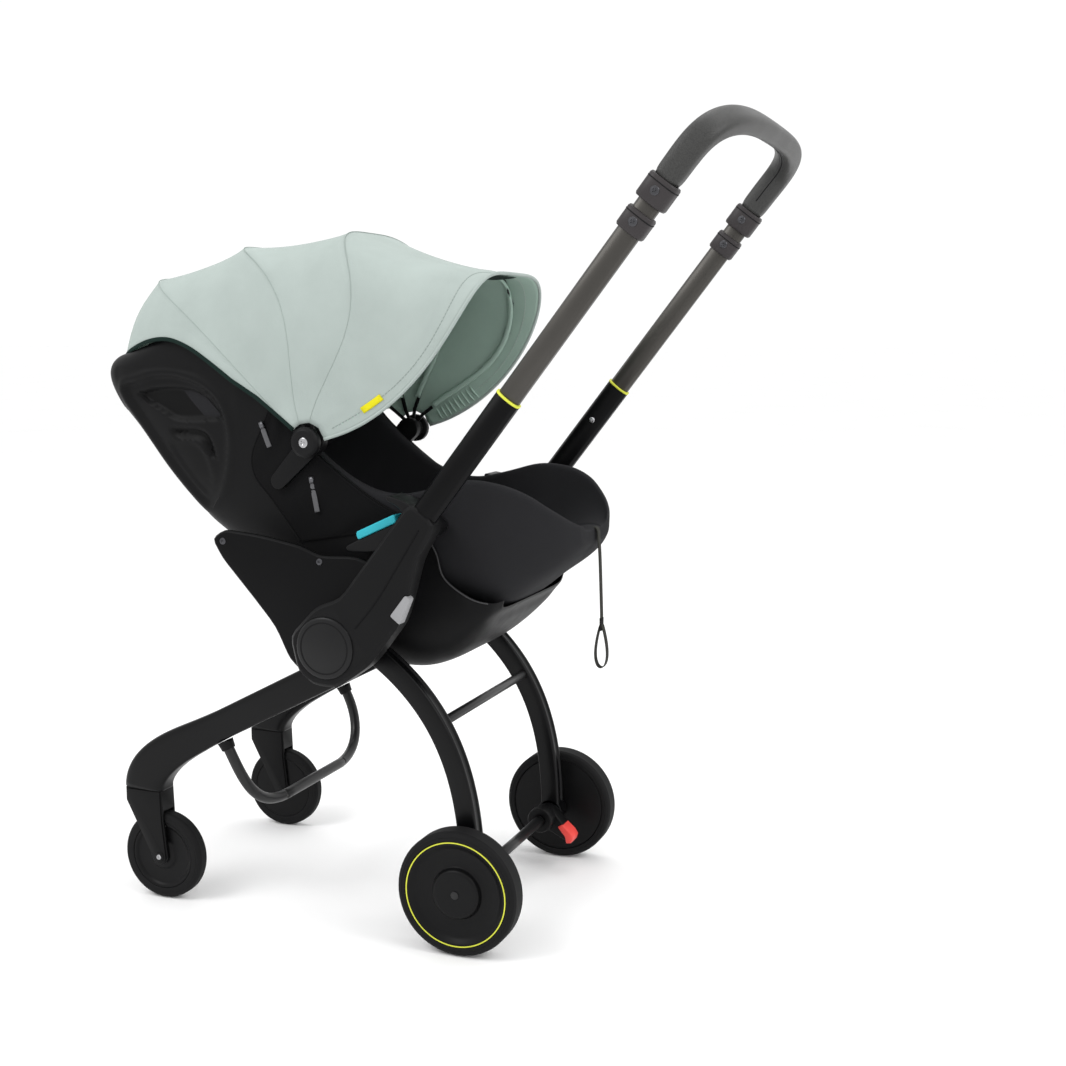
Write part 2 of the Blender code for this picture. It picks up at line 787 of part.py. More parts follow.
def handle_arms():
    """The moulded arms that turn on the hub and hold the handle tubes."""
    outline = handle_outline(
        [(-0.021, -0.045)]
        + [(-0.048, -0.012), (-0.048, 0.014), (-0.030, 0.040)]
        + [(0.020, 0.0555), (0.088, 0.0555), (0.122, 0.0430)]
        + [(0.160, 0.0270), (ARM_END, 0.0200), (ARM_END, -0.0205), (0.060, -0.0215), (0.030, -0.0400)]
    )
    rounded_outline = soften(outline, 0.010)
    inner_halves = (LOWER_TUBE_HALF[0] + GAP, LOWER_TUBE_HALF[1] + GAP)
    for side, facing in two_sides():
        low = min(facing * ARM_IN, facing * ARM_OUT)
        high = max(facing * ARM_IN, facing * ARM_OUT)
        mesh = mesh_from("handle_arm", extruded(rounded_outline, low, high, 0.0040, 1))
        arm = add_object(
            f"handle_arm_{side}", mesh, material("moulding", GRAPHITE, 0.42), (0, *HUB)
        )
        path = [
            handle_point(SOCKET_START - GAP, 0, facing * HANDLE_X),
            handle_point(ARM_END + 0.02, 0, facing * HANDLE_X),
        ]
        socket = mesh_from("socket", loft(swept(path, inner_halves, 12, 2.4)))
        combine(arm, cutter(f"cut_tube_socket_{side}", socket), "DIFFERENCE")
        bore = round_cutter(
            f"cut_arm_bore_{side}", low - 0.01, high + 0.01, HUB, HUB_PIN_RADIUS + PIN_GAP, 16
        )
        combine(arm, bore, "DIFFERENCE")
        seat_low = min(facing * (ARM_OUT - HUB_CAP_THICK), facing * (ARM_OUT + 0.01))
        seat_high = max(facing * (ARM_OUT - HUB_CAP_THICK), facing * (ARM_OUT + 0.01))
        seat = round_cutter(
            f"cut_cap_seat_{side}", seat_low, seat_high, HUB, HUB_CAP_RADIUS + GAP, 28
        )
        combine(arm, seat, "DIFFERENCE")
        along = (BUTTON_ALONG[0] - GAP, BUTTON_ALONG[1] + GAP)
        aside = (BUTTON_ASIDE[0] - GAP, 0.070)
        pocket_outline = handle_outline(
            [
                (along[0], aside[0]),
                (along[0], aside[1]),
                (along[1], aside[1]),
                (along[1], aside[0]),
            ]
        )
        deep = ARM_OUT - 0.0130 - BUTTON_TRAVEL
        pocket_low = min(facing * deep, facing * (ARM_OUT + 0.01))
        pocket_high = max(facing * deep, facing * (ARM_OUT + 0.01))
        pocket = mesh_from("pocket", extruded(pocket_outline, pocket_low, pocket_high))
        combine(arm, cutter(f"cut_button_{side}", pocket), "DIFFERENCE")


def soften(outline, radius, steps=2):
    """Round the corners of a closed outline, each by at most a third of its shorter side."""
    points = [Vector(p) for p in outline]
    result = []
    count = len(points)
    for index, corner in enumerate(points):
        before = points[index - 1] - corner
        after = points[(index + 1) % count] - corner
        reach = min(radius, before.length / 3, after.length / 3)
        start = corner + before.normalized() * reach
        end = corner + after.normalized() * reach
        for step in range(steps + 1):
            t = step / steps
            result.append(tuple(start * (1 - t) ** 2 + corner * 2 * t * (1 - t) + end * t**2))
    return result


def arm_buttons():
    outline = handle_outline(
        [
            (BUTTON_ALONG[0], BUTTON_ASIDE[0]),
            (BUTTON_ALONG[0], BUTTON_ASIDE[1] + 0.0025),
            (BUTTON_ALONG[1], BUTTON_ASIDE[1] - 0.0060),
            (BUTTON_ALONG[1], BUTTON_ASIDE[0]),
        ]
    )
    for side, facing in two_sides():
        inner = facing * (ARM_OUT - 0.0130)
        outer = facing * (ARM_OUT + 0.0006)
        mesh = mesh_from(
            "arm_button", extruded(soften(outline, 0.002), min(inner, outer), max(inner, outer), 0.0006, 1)
        )
        add_object(
            f"arm_button_{side}",
            mesh,
            material("button_grey", BUTTON_GREY, 0.5),
            (outer, *handle_point(BUTTON_ALONG[0], BUTTON_ASIDE[0])[1:]),
        )


def hub_caps():
    start = ARM_OUT - HUB_CAP_THICK + GAP
    end = ARM_OUT + HUB_CAP_PROUD
    profile = [
        (start, 0),
        (start, HUB_CAP_RADIUS),
        (end - 0.0015, HUB_CAP_RADIUS),
        (end, HUB_CAP_RADIUS - 0.0030),
        (end, 0),
    ]
    for side, facing in two_sides():
        mesh = moved(mesh_from("hub_cap", turned(profile, 28)), (0, *HUB), facing)
        add_object(
            f"hub_cap_{side}", mesh, material("moulding", GRAPHITE, 0.42), (facing * start, *HUB)
        )


def handle_tubes():
    inner = (LOWER_TUBE_HALF[0] - TUBE_WALL, LOWER_TUBE_HALF[1] - TUBE_WALL)
    for side, facing in two_sides():
        x = facing * HANDLE_X
        low_path = [handle_point(s, 0, x) for s in (SOCKET_START, LOWER_TUBE_END)]
        mesh = mesh_from(
            "lower_tube",
            tunnel(swept(low_path, LOWER_TUBE_HALF, 12, 2.4), swept(low_path, inner, 12, 2.4)),
        )
        add_object(
            f"lower_tube_{side}", mesh, material("tube_metal", BLACK, 0.35, 0.7), low_path[0]
        )
        top = UPPER_COLLAR[0] + 0.018
        up_path = [handle_point(s, 0, x) for s in (UPPER_TUBE_START, top)]
        mesh = mesh_from("upper_tube", loft(swept(up_path, UPPER_TUBE_HALF, 12, 2.4)))
        add_object(
            f"upper_tube_{side}", mesh, material("upper_metal", GRAPHITE, 0.3, 0.8), up_path[0]
        )
        hole = (UPPER_TUBE_HALF[0] + GAP, UPPER_TUBE_HALF[1] + GAP)
        outer = (hole[0] + COLLAR_WALL, hole[1] + COLLAR_WALL)
        for name, (start, end), blind in (
            ("grip_lower_collar", LOWER_COLLAR, False),
            ("grip_upper_collar", UPPER_COLLAR, True),
        ):
            path = [handle_point(s, 0, x) for s in (start, start + 0.003, end - 0.003, end)]
            rim = [(outer[0] - 0.0015, outer[1] - 0.0015), outer, outer, (outer[0] - 0.0015, outer[1] - 0.0015)]
            rings = swept(path, rim, 12, 3.0)
            if blind:
                mesh = mesh_from(name, loft(rings))
            else:
                mesh = mesh_from(name, tunnel(rings, swept(path, hole, 12, 2.4)))
            collar = add_object(f"{name}_{side}", mesh, material("moulding", GRAPHITE, 0.42), path[0])
            if blind:
                bore = [handle_point(s, 0, x) for s in (start - 0.01, top + GAP)]
                cut = cutter(f"cut_{name}_{side}", mesh_from("bore", loft(swept(bore, hole, 12, 2.4))))
                combine(collar, cut, "DIFFERENCE")


def grip():
    """The padded bar that joins the two tubes, an arch that swells between its collars."""
    start = UPPER_COLLAR[1] + GAP
    foot = start + 0.0040
    route = [(HANDLE_X, start), (HANDLE_X, foot)]
    count = 18
    for index in range(count + 1):
        u, v = rounded(math.pi * index / count, GRIP_POWER)
        route.append((u * HANDLE_X, GRIP_SHOULDER + (GRIP_REACH - GRIP_SHOULDER) * v))
    route += [(-HANDLE_X, foot), (-HANDLE_X, start)]
    path = []
    halves = []
    for x, along in route:
        rise = (along - start) / (GRIP_REACH - start)
        path.append(handle_point(along, GRIP_SWEEP * rise**3, x))
        swell = GRIP_SWELL * math.sin(math.pi * min(1.0, 0.15 + 0.55 * rise))
        halves.append((GRIP_HALF[1] + swell, GRIP_HALF[0]))
    halves[0] = halves[-1] = (GRIP_HALF[1], GRIP_HALF[0])
    aside = Vector((0, math.cos(HANDLE_TILT), -math.sin(HANDLE_TILT)))
    rings = swept(path, halves, 12, 2.6, aside)
    mesh = mesh_from("grip", loft(rings))
    add_object("grip", mesh, material("grip_foam", GRIP_GREY, 0.6), handle_point(GRIP_REACH, 0, 0))


# Shell


# Stations of the shell from head to foot: rim point, bottom point, half width
SHELL_STATIONS = [
    ((-0.386, 0.712), (-0.410, 0.712), SHELL_HALF - 0.052),
    ((-0.362, 0.722), (-0.431, 0.701), SHELL_HALF - 0.024),
    ((-0.330, 0.731), (-0.4345, 0.679), SHELL_HALF - 0.006),
    ((-0.290, 0.733), (-0.420, 0.646), SHELL_HALF - 0.001),
    ((-0.246, 0.718), (-0.390, 0.610), SHELL_HALF),
    ((-0.204, 0.682), (-0.345, 0.554), SHELL_HALF),
    ((-0.163, 0.643), (-0.288, 0.499), SHELL_HALF),
    ((-0.135, 0.614), (-0.232, 0.455), SHELL_HALF),
    ((-0.100, 0.584), (-0.180, 0.412), SHELL_HALF),
    ((-0.068, 0.560), (-0.140, 0.372), SHELL_HALF),
    ((-0.038, 0.540), (-0.096, 0.340), SHELL_HALF),
    ((-0.004, 0.522), (-0.046, 0.325), SHELL_HALF),
    ((0.030, 0.503), (0.010, 0.322), SHELL_HALF),
    ((0.049, 0.477), (0.050, 0.334), SHELL_HALF),
    ((0.060, 0.446), (0.080, 0.355), SHELL_HALF),
    ((0.092, 0.424), (0.104, 0.379), SHELL_HALF),
    ((0.118, 0.417), (0.114, 0.394), SHELL_HALF - 0.006),
    ((0.128, 0.418), (0.124, 0.404), SHELL_HALF - 0.022),
]
SHELL_WALL = 0.0030
SHELL_POWER = 6.0
ACROSS = 12
POCKET_DEPTH = 0.0018
SPINE_HALF = SHELL_HALF - 0.0850
# Side outlines of the two pockets behind each shoulder of the shell, with a bar between them
BACK_POCKETS = (
    [
        (-0.3950, 0.6640),
        (-0.3430, 0.6710),
        (-0.3060, 0.6710),
        (-0.2790, 0.6640),
        (-0.2620, 0.6510),
        (-0.2480, 0.6350),
        (-0.2900, 0.6280),
        (-0.3450, 0.6180),
        (-0.4050, 0.5850),
        (-0.4500, 0.6400),
    ],
    [
        (-0.3450, 0.6050),
        (-0.2810, 0.6160),
        (-0.2640, 0.5900),
        (-0.2550, 0.5620),
        (-0.2580, 0.5380),
        (-0.2950, 0.4900),
        (-0.3500, 0.5100),
        (-0.3950, 0.5750),
    ],
)


def cross_row(rim, bottom, half_rim, half_bottom, power, count=ACROSS):
    """Points of one U-shaped section, from the right rim down round the bottom to the left rim."""
    row = []
    for index in range(count + 1):
        u, v = rounded(math.pi * index / count, power)
        half = half_rim + (half_bottom - half_rim) * v
        row.append(
            Vector(
                (
                    -u * half,
                    rim[0] + (bottom[0] - rim[0]) * v,
                    rim[1] + (bottom[1] - rim[1]) * v,
                )
            )
        )
    return row


def seat_shell():
    """The moulded bucket, with a boss for each hub pin."""
    outer = []
    inner = []
    for rim, bottom, half in SHELL_STATIONS:
        outer.append(cross_row(rim, bottom, half, half, SHELL_POWER))
        depth = math.dist(rim, bottom)
        share = (depth - min(SHELL_WALL, depth * 0.4)) / depth
        floor = tuple(r + (b - r) * share for r, b in zip(rim, bottom))
        thin = half - SHELL_WALL
        inner.append(cross_row(rim, floor, thin, thin, SHELL_POWER))
    shell = add_object(
        "seat_shell",
        mesh_from("seat_shell", trough(outer, inner)),
        material("shell_plastic", GRAPHITE, 0.5),
        (0, *HUB),
    )
    for side, facing in two_sides():
        low = min(facing * (SHELL_HALF - 0.022), facing * SHELL_HALF)
        high = max(facing * (SHELL_HALF - 0.022), facing * SHELL_HALF)
        combine(shell, round_cutter(f"add_boss_{side}", low, high, HUB, 0.0240, 16), "UNION")
        pin_low = min(facing * (SHELL_HALF - 0.010), facing * (SHELL_HALF + 0.01))
        pin_high = max(facing * (SHELL_HALF - 0.010), facing * (SHELL_HALF + 0.01))
        hole = round_cutter(
            f"cut_boss_{side}", pin_low, pin_high, HUB, HUB_PIN_RADIUS + PIN_GAP, 16
        )
        combine(shell, hole, "DIFFERENCE")
    back_pockets(shell)
    return shell


def back_pockets(shell):
    """Shallow pockets that follow the shell's back and leave a spine between them."""
    rings = []
    for rim, bottom, half in SHELL_STATIONS:
        depth = math.dist(rim, bottom)
        share = (depth - min(POCKET_DEPTH, depth * 0.24)) / depth
        floor = tuple(r + (b - r) * share for r, b in zip(rim, bottom))
        thin = half - POCKET_DEPTH
        rings.append(cross_row(rim, floor, thin, thin, SHELL_POWER))
    for index, outline in enumerate(BACK_POCKETS):
        for side, facing in two_sides():
            low = min(facing * SPINE_HALF, facing * (SHELL_HALF + 0.01))
            high = max(facing * SPINE_HALF, facing * (SHELL_HALF + 0.01))
            mesh = mesh_from("pocket", extruded(soften(outline, 0.006), low, high))
            pocket = cutter(f"cut_pocket_{index}_{side}", mesh)
            core = cutter(f"pocket_core_{index}_{side}", mesh_from("core", loft(rings)))
            combine(pocket, core, "DIFFERENCE")
            combine(shell, pocket, "DIFFERENCE")


def side_panels():
    """The flat side panels outside the legs, each on a web that stands out from the shell."""
    edge = [
        (-0.231, 0.486),
        (-0.217, 0.462),
        (-0.172, 0.413),
        (-0.144, 0.381),
        (-0.125, 0.342),
        (-0.106, 0.326),
        (-0.060, 0.322),
        (-0.010, 0.345),
        (0.005, 0.400),
        (0.010, 0.455),
        (-0.030, 0.474),
        (-0.080, 0.472),
        (-0.107, 0.483),
        (-0.161, 0.493),
        (-0.213, 0.498),
    ]
    web = [
        (-0.088, 0.432),
        (-0.030, 0.432),
        (-0.030, 0.462),
        (-0.088, 0.462),
    ]
    outline = soften(edge, 0.012)
    for side, facing in two_sides():
        low = min(facing * PANEL_IN, facing * PANEL_OUT)
        high = max(facing * PANEL_IN, facing * PANEL_OUT)
        mesh = mesh_from("side_panel", extruded(outline, low, high, 0.0025, 1))
        panel = add_object(
            f"side_panel_{side}", mesh, material("panel_plastic", GRAPHITE, 0.4), (0, *HUB)
        )
        web_in = facing * (SHELL_HALF + GAP)
        web_out = facing * (PANEL_IN + PANEL_THICK / 2)
        web_mesh = mesh_from(
            "web", extruded(soften(web, 0.006), min(web_in, web_out), max(web_in, web_out))
        )
        combine(panel, cutter(f"add_web_{side}", web_mesh), "UNION")
        hole = round_cutter(
            f"cut_panel_{side}", low - 0.01, high + 0.01, HUB, HUB_PIN_RADIUS + PIN_GAP, 16
        )
        combine(panel, hole, "DIFFERENCE")


def belt_guides():
    """The horn that hooks over the car's belt on each side, and the coloured strip below it."""
    horn = [
        (0.003, 0.5470),
        (0.016, 0.5450),
        (0.030, 0.5400),
        (0.046, 0.5290),
        (0.068, 0.5130),
        (0.062, 0.5000),
        (0.030, 0.4870),
        (-0.020, 0.4780),
        (-0.046, 0.4770),
        (-0.052, 0.4830),
        (-0.036, 0.4912),
        (0.021, 0.5172),
        (0.0270, 0.5250),
        (0.0180, 0.5350),
        (0.004, 0.5410),
    ]
    strip = [(-0.034, 0.4925), (0.017, 0.5158), (0.0145, 0.5255), (-0.0365, 0.5020)]
    inner = SHELL_HALF + GAP
    for side, facing in two_sides():
        outer = PANEL_IN - 0.003
        low = min(facing * inner, facing * outer)
        high = max(facing * inner, facing * outer)
        mesh = mesh_from("belt_guide", extruded(soften(horn, 0.004, 1), low, high, 0.0012, 1))
        add_object(
            f"belt_guide_{side}", mesh, material("moulding", GRAPHITE, 0.42), (0, 0, 0.5)
        )
        low = min(facing * (outer - 0.022), facing * (outer + 0.001))
        high = max(facing * (outer - 0.022), facing * (outer + 0.001))
        mesh = mesh_from("belt_strip", extruded(soften(strip, 0.002, 1), low, high, 0.0010, 1))
        add_object(f"belt_strip_{side}", mesh, material("strip_cyan", CYAN, 0.4), (0, 0, 0.5))


# Canopy


def bow_curve(angle_at, radius, power, half_width, count, low):
    """Even points along a bow from the left pivot over its crown to the right.

    angle_at gives the angle about the pivot for a share of the crown's reach, and low is the
    reach at which the curve starts and ends.
    """
    fine = []
    first = math.asin((low / radius) ** (power / 2))
    steps = 160
    for index in range(steps + 1):
        u, v = rounded(first + (math.pi - 2 * first) * index / steps, power)
        angle = math.radians(angle_at(v))
        fine.append(
            Vector(
                (
                    u * half_width,
                    PIVOT[0] + radius * v * math.cos(angle),
                    PIVOT[1] + radius * v * math.sin(angle),
                )
            )
        )
    return [sample(fine, index / count) for index in range(count + 1)]


def drooped(crown, droop):
    """The angle of a bow whose sides lean forwards by droop halfway up."""
    return lambda v: crown - droop * math.sin(math.pi * min(v, 1.0))


def canopy_bows():
    """Four bows on one pivot, their ends in layers beside each other."""
    first = SHELL_HALF + GAP + BRACKET_THICK + GAP
    for order, (name, (crown, radius, droop, power)) in enumerate(reversed(list(BOWS.items()))):
        ear_in = first + order * BOW_EAR_STEP
        ear_x = ear_in + BOW_EAR_THICK / 2
        path = bow_curve(
            drooped(crown, droop), radius, power, BOW_HALF_WIDTH, BOW_POINTS, EAR_REACH
        )
        for point in path:
            near = max(0.0, 1 - math.dist(point.yz, PIVOT) / BOW_BLEND)
            blend = min(1.0, near * 1.8)
            point.x = math.copysign(abs(point.x) * (1 - blend) + ear_x * blend, point.x)
        ends = []
        for end, sign in ((0, 1), (-1, -1)):
            pivot = Vector((sign * ear_x, *PIVOT))
            ends.append(pivot.lerp(Vector((sign * ear_x, path[end].y, path[end].z)), 0.35))
        path = [ends[0], *path, ends[1]]
        crown_out = Vector((0, math.cos(math.radians(crown)), math.sin(math.radians(crown))))
        aside = Vector((0, -crown_out.z, crown_out.y))
        rings = swept(path, (BOW_DEPTH / 2, BOW_THICK / 2), 4, 8.0, aside)
        bow = add_object(
            name, mesh_from(name, loft(rings)), material("bow_plastic", BLACK, 0.5), (0, *PIVOT)
        )
        for side, facing in two_sides():
            low = min(facing * ear_in, facing * (ear_in + BOW_EAR_THICK))
            high = max(facing * ear_in, facing * (ear_in + BOW_EAR_THICK))
            combine(bow, round_cutter(f"add_{name}_{side}", low, high, PIVOT, EAR_RADIUS, 12), "UNION")
            hole = round_cutter(
                f"cut_{name}_{side}", low - 0.004, high + 0.004, PIVOT, KNOB_STEM_RADIUS + PIN_GAP, 10
            )
            combine(bow, hole, "DIFFERENCE")


def canopy_pivots(shell):
    """The ear on each side of the shell and the knob whose stem carries the bows."""
    bracket_in = SHELL_HALF - 0.0025
    bracket_out = SHELL_HALF + GAP + BRACKET_THICK
    stack = len(BOWS) * BOW_EAR_STEP
    knob_in = bracket_out + GAP + stack
    tail = (-0.160, 0.556)
    direction = math.degrees(math.atan2(tail[1] - PIVOT[1], tail[0] - PIVOT[0]))
    outline = arc(PIVOT, 0.0170, direction - 270, direction + 270 - 360, 8) + arc(
        tail, 0.0120, direction - 90, direction + 90, 5
    )
    for side, facing in two_sides():
        low = min(facing * bracket_in, facing * bracket_out)
        high = max(facing * bracket_in, facing * bracket_out)
        mesh = mesh_from("canopy_bracket", extruded(outline, low, high))
        combine(shell, cutter(f"add_bracket_{side}", mesh), "UNION")
        hole = round_cutter(
            f"cut_bracket_{side}", low - 0.01, high + 0.01, PIVOT, KNOB_STEM_RADIUS + PIN_GAP, 10
        )
        combine(shell, hole, "DIFFERENCE")
        profile = [
            (bracket_in + 0.002, 0),
            (bracket_in + 0.002, KNOB_STEM_RADIUS),
            (knob_in, KNOB_STEM_RADIUS),
            (knob_in, KNOB_RADIUS),
            (knob_in + 0.007, KNOB_RADIUS),
            (knob_in + 0.011, KNOB_RADIUS - 0.004),
            (knob_in + 0.011, 0.0070),
            (knob_in + 0.009, 0.0060),
            (knob_in + 0.009, 0),
        ]
        knob = moved(mesh_from("canopy_knob", turned(profile, 20)), (0, *PIVOT), facing)
        add_object(
            f"canopy_knob_{side}", knob, material("moulding", GRAPHITE, 0.42), (facing * knob_in, *PIVOT)
        )


def fabric_edge(angle_at, radius, power):
    """The line of the fabric over one bow, outside the bow and outside the stack of ears."""
    lift = BOW_THICK / 2 + FABRIC_LIFT
    path = bow_curve(
        angle_at, radius + lift, power, BOW_HALF_WIDTH + lift, FABRIC_POINTS, FABRIC_FOOT
    )
    outside = SHELL_HALF + 2 * GAP + BRACKET_THICK + len(BOWS) * BOW_EAR_STEP + GAP
    for point in path:
        reach = math.dist(point.yz, PIVOT)
        blend = min(1.0, max(0.0, (FOOT_BLEND - reach) / (FOOT_BLEND - FABRIC_FOOT)))
        point.x = math.copysign(abs(point.x) * (1 - blend) + outside * blend, point.x)
    return path


def add_sheet(name, rows, origin):
    """A sheet of the canopy's fabric through rows of points."""

    def build(work):
        grid = [[work.verts.new(point) for point in row] for row in rows]
        for first, second in zip(grid, grid[1:]):
            bridge(work, first, second)

    made = add_object(
        name, mesh_from(name, build), material("canopy_fabric", SAGE, 0.85), origin
    )
    normal = made.data.polygons[len(made.data.polygons) // 2].normal
    if normal.z < 0:
        made.data.flip_normals()
    thick = made.modifiers.new("cloth", "SOLIDIFY")
    thick.thickness = FABRIC
    thick.offset = 1.0
    return made


def canopy_panels():
    """Fabric between each pair of bows, a front band, and the rear panel down to the shell's head."""

    def seam(name, turn):
        crown, radius, droop, power = BOWS[name]
        return fabric_edge(drooped(crown + turn, droop), radius, power)

    order = list(BOWS)
    for behind, ahead in zip(order, order[1:]):
        first = seam(behind, -SEAM_TURN)
        last = seam(ahead, SEAM_TURN)
        rows = []
        for step in range(4):
            t = step / 3
            row = []
            for start, end in zip(first, last):
                point = start.lerp(end, t)
                spoke = Vector((0, point.y - PIVOT[0], point.z - PIVOT[1]))
                sag = FABRIC_SAG * 4 * t * (1 - t) * min(1.0, spoke.length / 0.2)
                row.append(point - spoke.normalized() * sag)
            rows.append(row)
        if ahead == "bow_d":
            rows += front_band(last)
        add_sheet("canopy_" + behind[-1] + ahead[-1], rows, (0, *PIVOT))
    rear_panel(seam("bow_a", SEAM_TURN))


def front_band(back):
    """Rows of the band from the front bow to the canopy's free edge."""
    front = fabric_edge(
        lambda v: RIM_FOOT + (RIM_CROWN - RIM_FOOT) * v**0.9, RIM_RADIUS, RIM_POWER
    )
    middle = []
    for start, end in zip(back, front):
        point = start.lerp(end, 0.5)
        spoke = Vector((0, point.y - PIVOT[0], point.z - PIVOT[1]))
        middle.append(point - spoke.normalized() * 0.002)
    return [middle, front]


def rear_panel(crest):
    """The fabric from the rear bow down over the head end of the shell's rim."""
    count = len(crest) - 1
    edge = smooth_path(
        [
            (SHELL_HALF + 0.0200, -0.218, 0.680),
            (SHELL_HALF + 0.0200, -0.250, 0.702),
            (SHELL_HALF + 0.0195, -0.282, 0.722),
            (SHELL_HALF + 0.0160, -0.316, 0.734),
            (SHELL_HALF + 0.0080, -0.354, 0.736),
            (SHELL_HALF - 0.0120, -0.400, 0.726),
            (SHELL_HALF - 0.0520, -0.424, 0.718),
            (0.0, -0.4290, 0.715),
        ],
        4,
    )
    edge = edge + [Vector((-p.x, p.y, p.z)) for p in reversed(edge[:-1])]
    hem = [sample(edge, index / count) for index in range(count + 1)]
    start = 1
    rows = []
    for step in range(5):
        t = step / 4
        bulge = 0.012 * math.sin(math.pi * t)
        row = []
        for index in range(count + 1):
            share = index / count
            top = sample(crest[start:-start], share)
            point = top.lerp(hem[index], t)
            outward = Vector((0, -0.75, 0.66))
            row.append(point + outward * bulge * math.sin(math.pi * share))
        rows.append(row)
    add_sheet("canopy_rear", rows, (0, *PIVOT))


def sample(path, share):
    """The point at this share of a path's length."""
    lengths = [0.0]
    for start, end in zip(path, path[1:]):
        lengths.append(lengths[-1] + (end - start).length)
    wanted = share * lengths[-1]
    for index in range(1, len(path)):
        if lengths[index] >= wanted or index == len(path) - 1:
            span = lengths[index] - lengths[index - 1]
            return path[index - 1].lerp(path[index], (wanted - lengths[index - 1]) / span)


# Soft parts


LINER_CLEARANCE = 0.0005
LINER_HALF = SHELL_HALF - SHELL_WALL - LINER_CLEARANCE
# Stations of the liner: rim, outer bottom, half width at the rim and the bottom, depth of the hollow
LINER_STATIONS = [
    ((-0.376, 0.706), (-0.395, 0.705), LINER_HALF - 0.0565, LINER_HALF - 0.0565, 0.30),
    ((-0.352, 0.714), (-0.412, 0.693), LINER_HALF - 0.0285, LINER_HALF - 0.0285, 0.62),
    ((-0.322, 0.722), (-0.418, 0.674), LINER_HALF - 0.0095, LINER_HALF - 0.0105, 0.80),
    ((-0.285, 0.725), (-0.405, 0.646), LINER_HALF - 0.0020, LINER_HALF - 0.0025, 0.86),
    ((-0.243, 0.709), (-0.381, 0.608), LINER_HALF, LINER_HALF - 0.0003, 0.88),
    ((-0.203, 0.676), (-0.336, 0.556), LINER_HALF, LINER_HALF - 0.0003, 0.89),
    ((-0.163, 0.638), (-0.278, 0.504), LINER_HALF, LINER_HALF - 0.0003, 0.89),
    ((-0.135, 0.610), (-0.220, 0.464), LINER_HALF, LINER_HALF - 0.0003, 0.89),
    ((-0.100, 0.580), (-0.165, 0.432), LINER_HALF, LINER_HALF - 0.0003, 0.88),
    ((-0.066, 0.557), (-0.115, 0.413), LINER_HALF, LINER_HALF - 0.0003, 0.87),
    ((-0.032, 0.543), (-0.065, 0.405), LINER_HALF, LINER_HALF - 0.0003, 0.86),
    ((0.004, 0.540), (-0.015, 0.402), LINER_HALF, LINER_HALF - 0.0015, 0.84),
    ((0.045, 0.549), (0.030, 0.401), LINER_HALF, LINER_HALF - 0.0045, 0.80),
    ((0.088, 0.560), (0.065, 0.404), LINER_HALF + 0.0055, LINER_HALF - 0.0075, 0.74),
    ((0.128, 0.557), (0.104, 0.412), LINER_HALF + 0.0075, LINER_HALF - 0.0105, 0.66),
    ((0.160, 0.545), (0.146, 0.430), LINER_HALF - 0.0015, LINER_HALF - 0.0185, 0.55),
    ((0.183, 0.527), (0.174, 0.446), LINER_HALF - 0.0185, LINER_HALF - 0.0305, 0.42),
    ((0.199, 0.512), (0.196, 0.464), LINER_HALF - 0.0415, LINER_HALF - 0.0485, 0.32),
    ((0.209, 0.502), (0.210, 0.482), LINER_HALF - 0.0715, LINER_HALF - 0.0745, 0.25),
]
LINER_WALL = 0.0140


def seat_liner():
    outer = []
    inner = []
    for rim, bottom, half_rim, half_bottom, share in LINER_STATIONS:
        outer.append(cross_row(rim, bottom, half_rim, half_bottom, 4.5))
        floor = tuple(r + (b - r) * share for r, b in zip(rim, bottom))
        inner.append(
            cross_row(rim, floor, half_rim - LINER_WALL, half_bottom - LINER_WALL - 0.006, 3.2)
        )
    add_object(
        "seat_liner",
        mesh_from("seat_liner", trough(outer, inner)),
        material("seat_fabric", CHARCOAL, 0.9),
        (0, *HUB),
    )


def head_pad():
    """A padded rest round the baby's head, against the liner's back."""
    rows_outer = []
    rows_inner = []
    for rim, bottom, half in (
        ((-0.268, 0.690), (-0.3560, 0.6245), LINER_HALF - 0.0255),
        ((-0.236, 0.668), (-0.3370, 0.6005), LINER_HALF - 0.0205),
        ((-0.204, 0.640), (-0.3120, 0.5685), LINER_HALF - 0.0215),
        ((-0.178, 0.608), (-0.2810, 0.5415), LINER_HALF - 0.0285),
    ):
        rows_outer.append(cross_row(rim, bottom, half, half - 0.008, 3.4, 10))
        floor = tuple(r + (b - r) * 0.78 for r, b in zip(rim, bottom))
        rows_inner.append(cross_row(rim, floor, half - 0.018, half - 0.030, 2.6, 10))
    add_object(
        "head_pad",
        mesh_from("head_pad", trough(rows_outer, rows_inner)),
        material("pad_fabric", GRAPHITE, 0.9),
        (0, *PIVOT),
    )


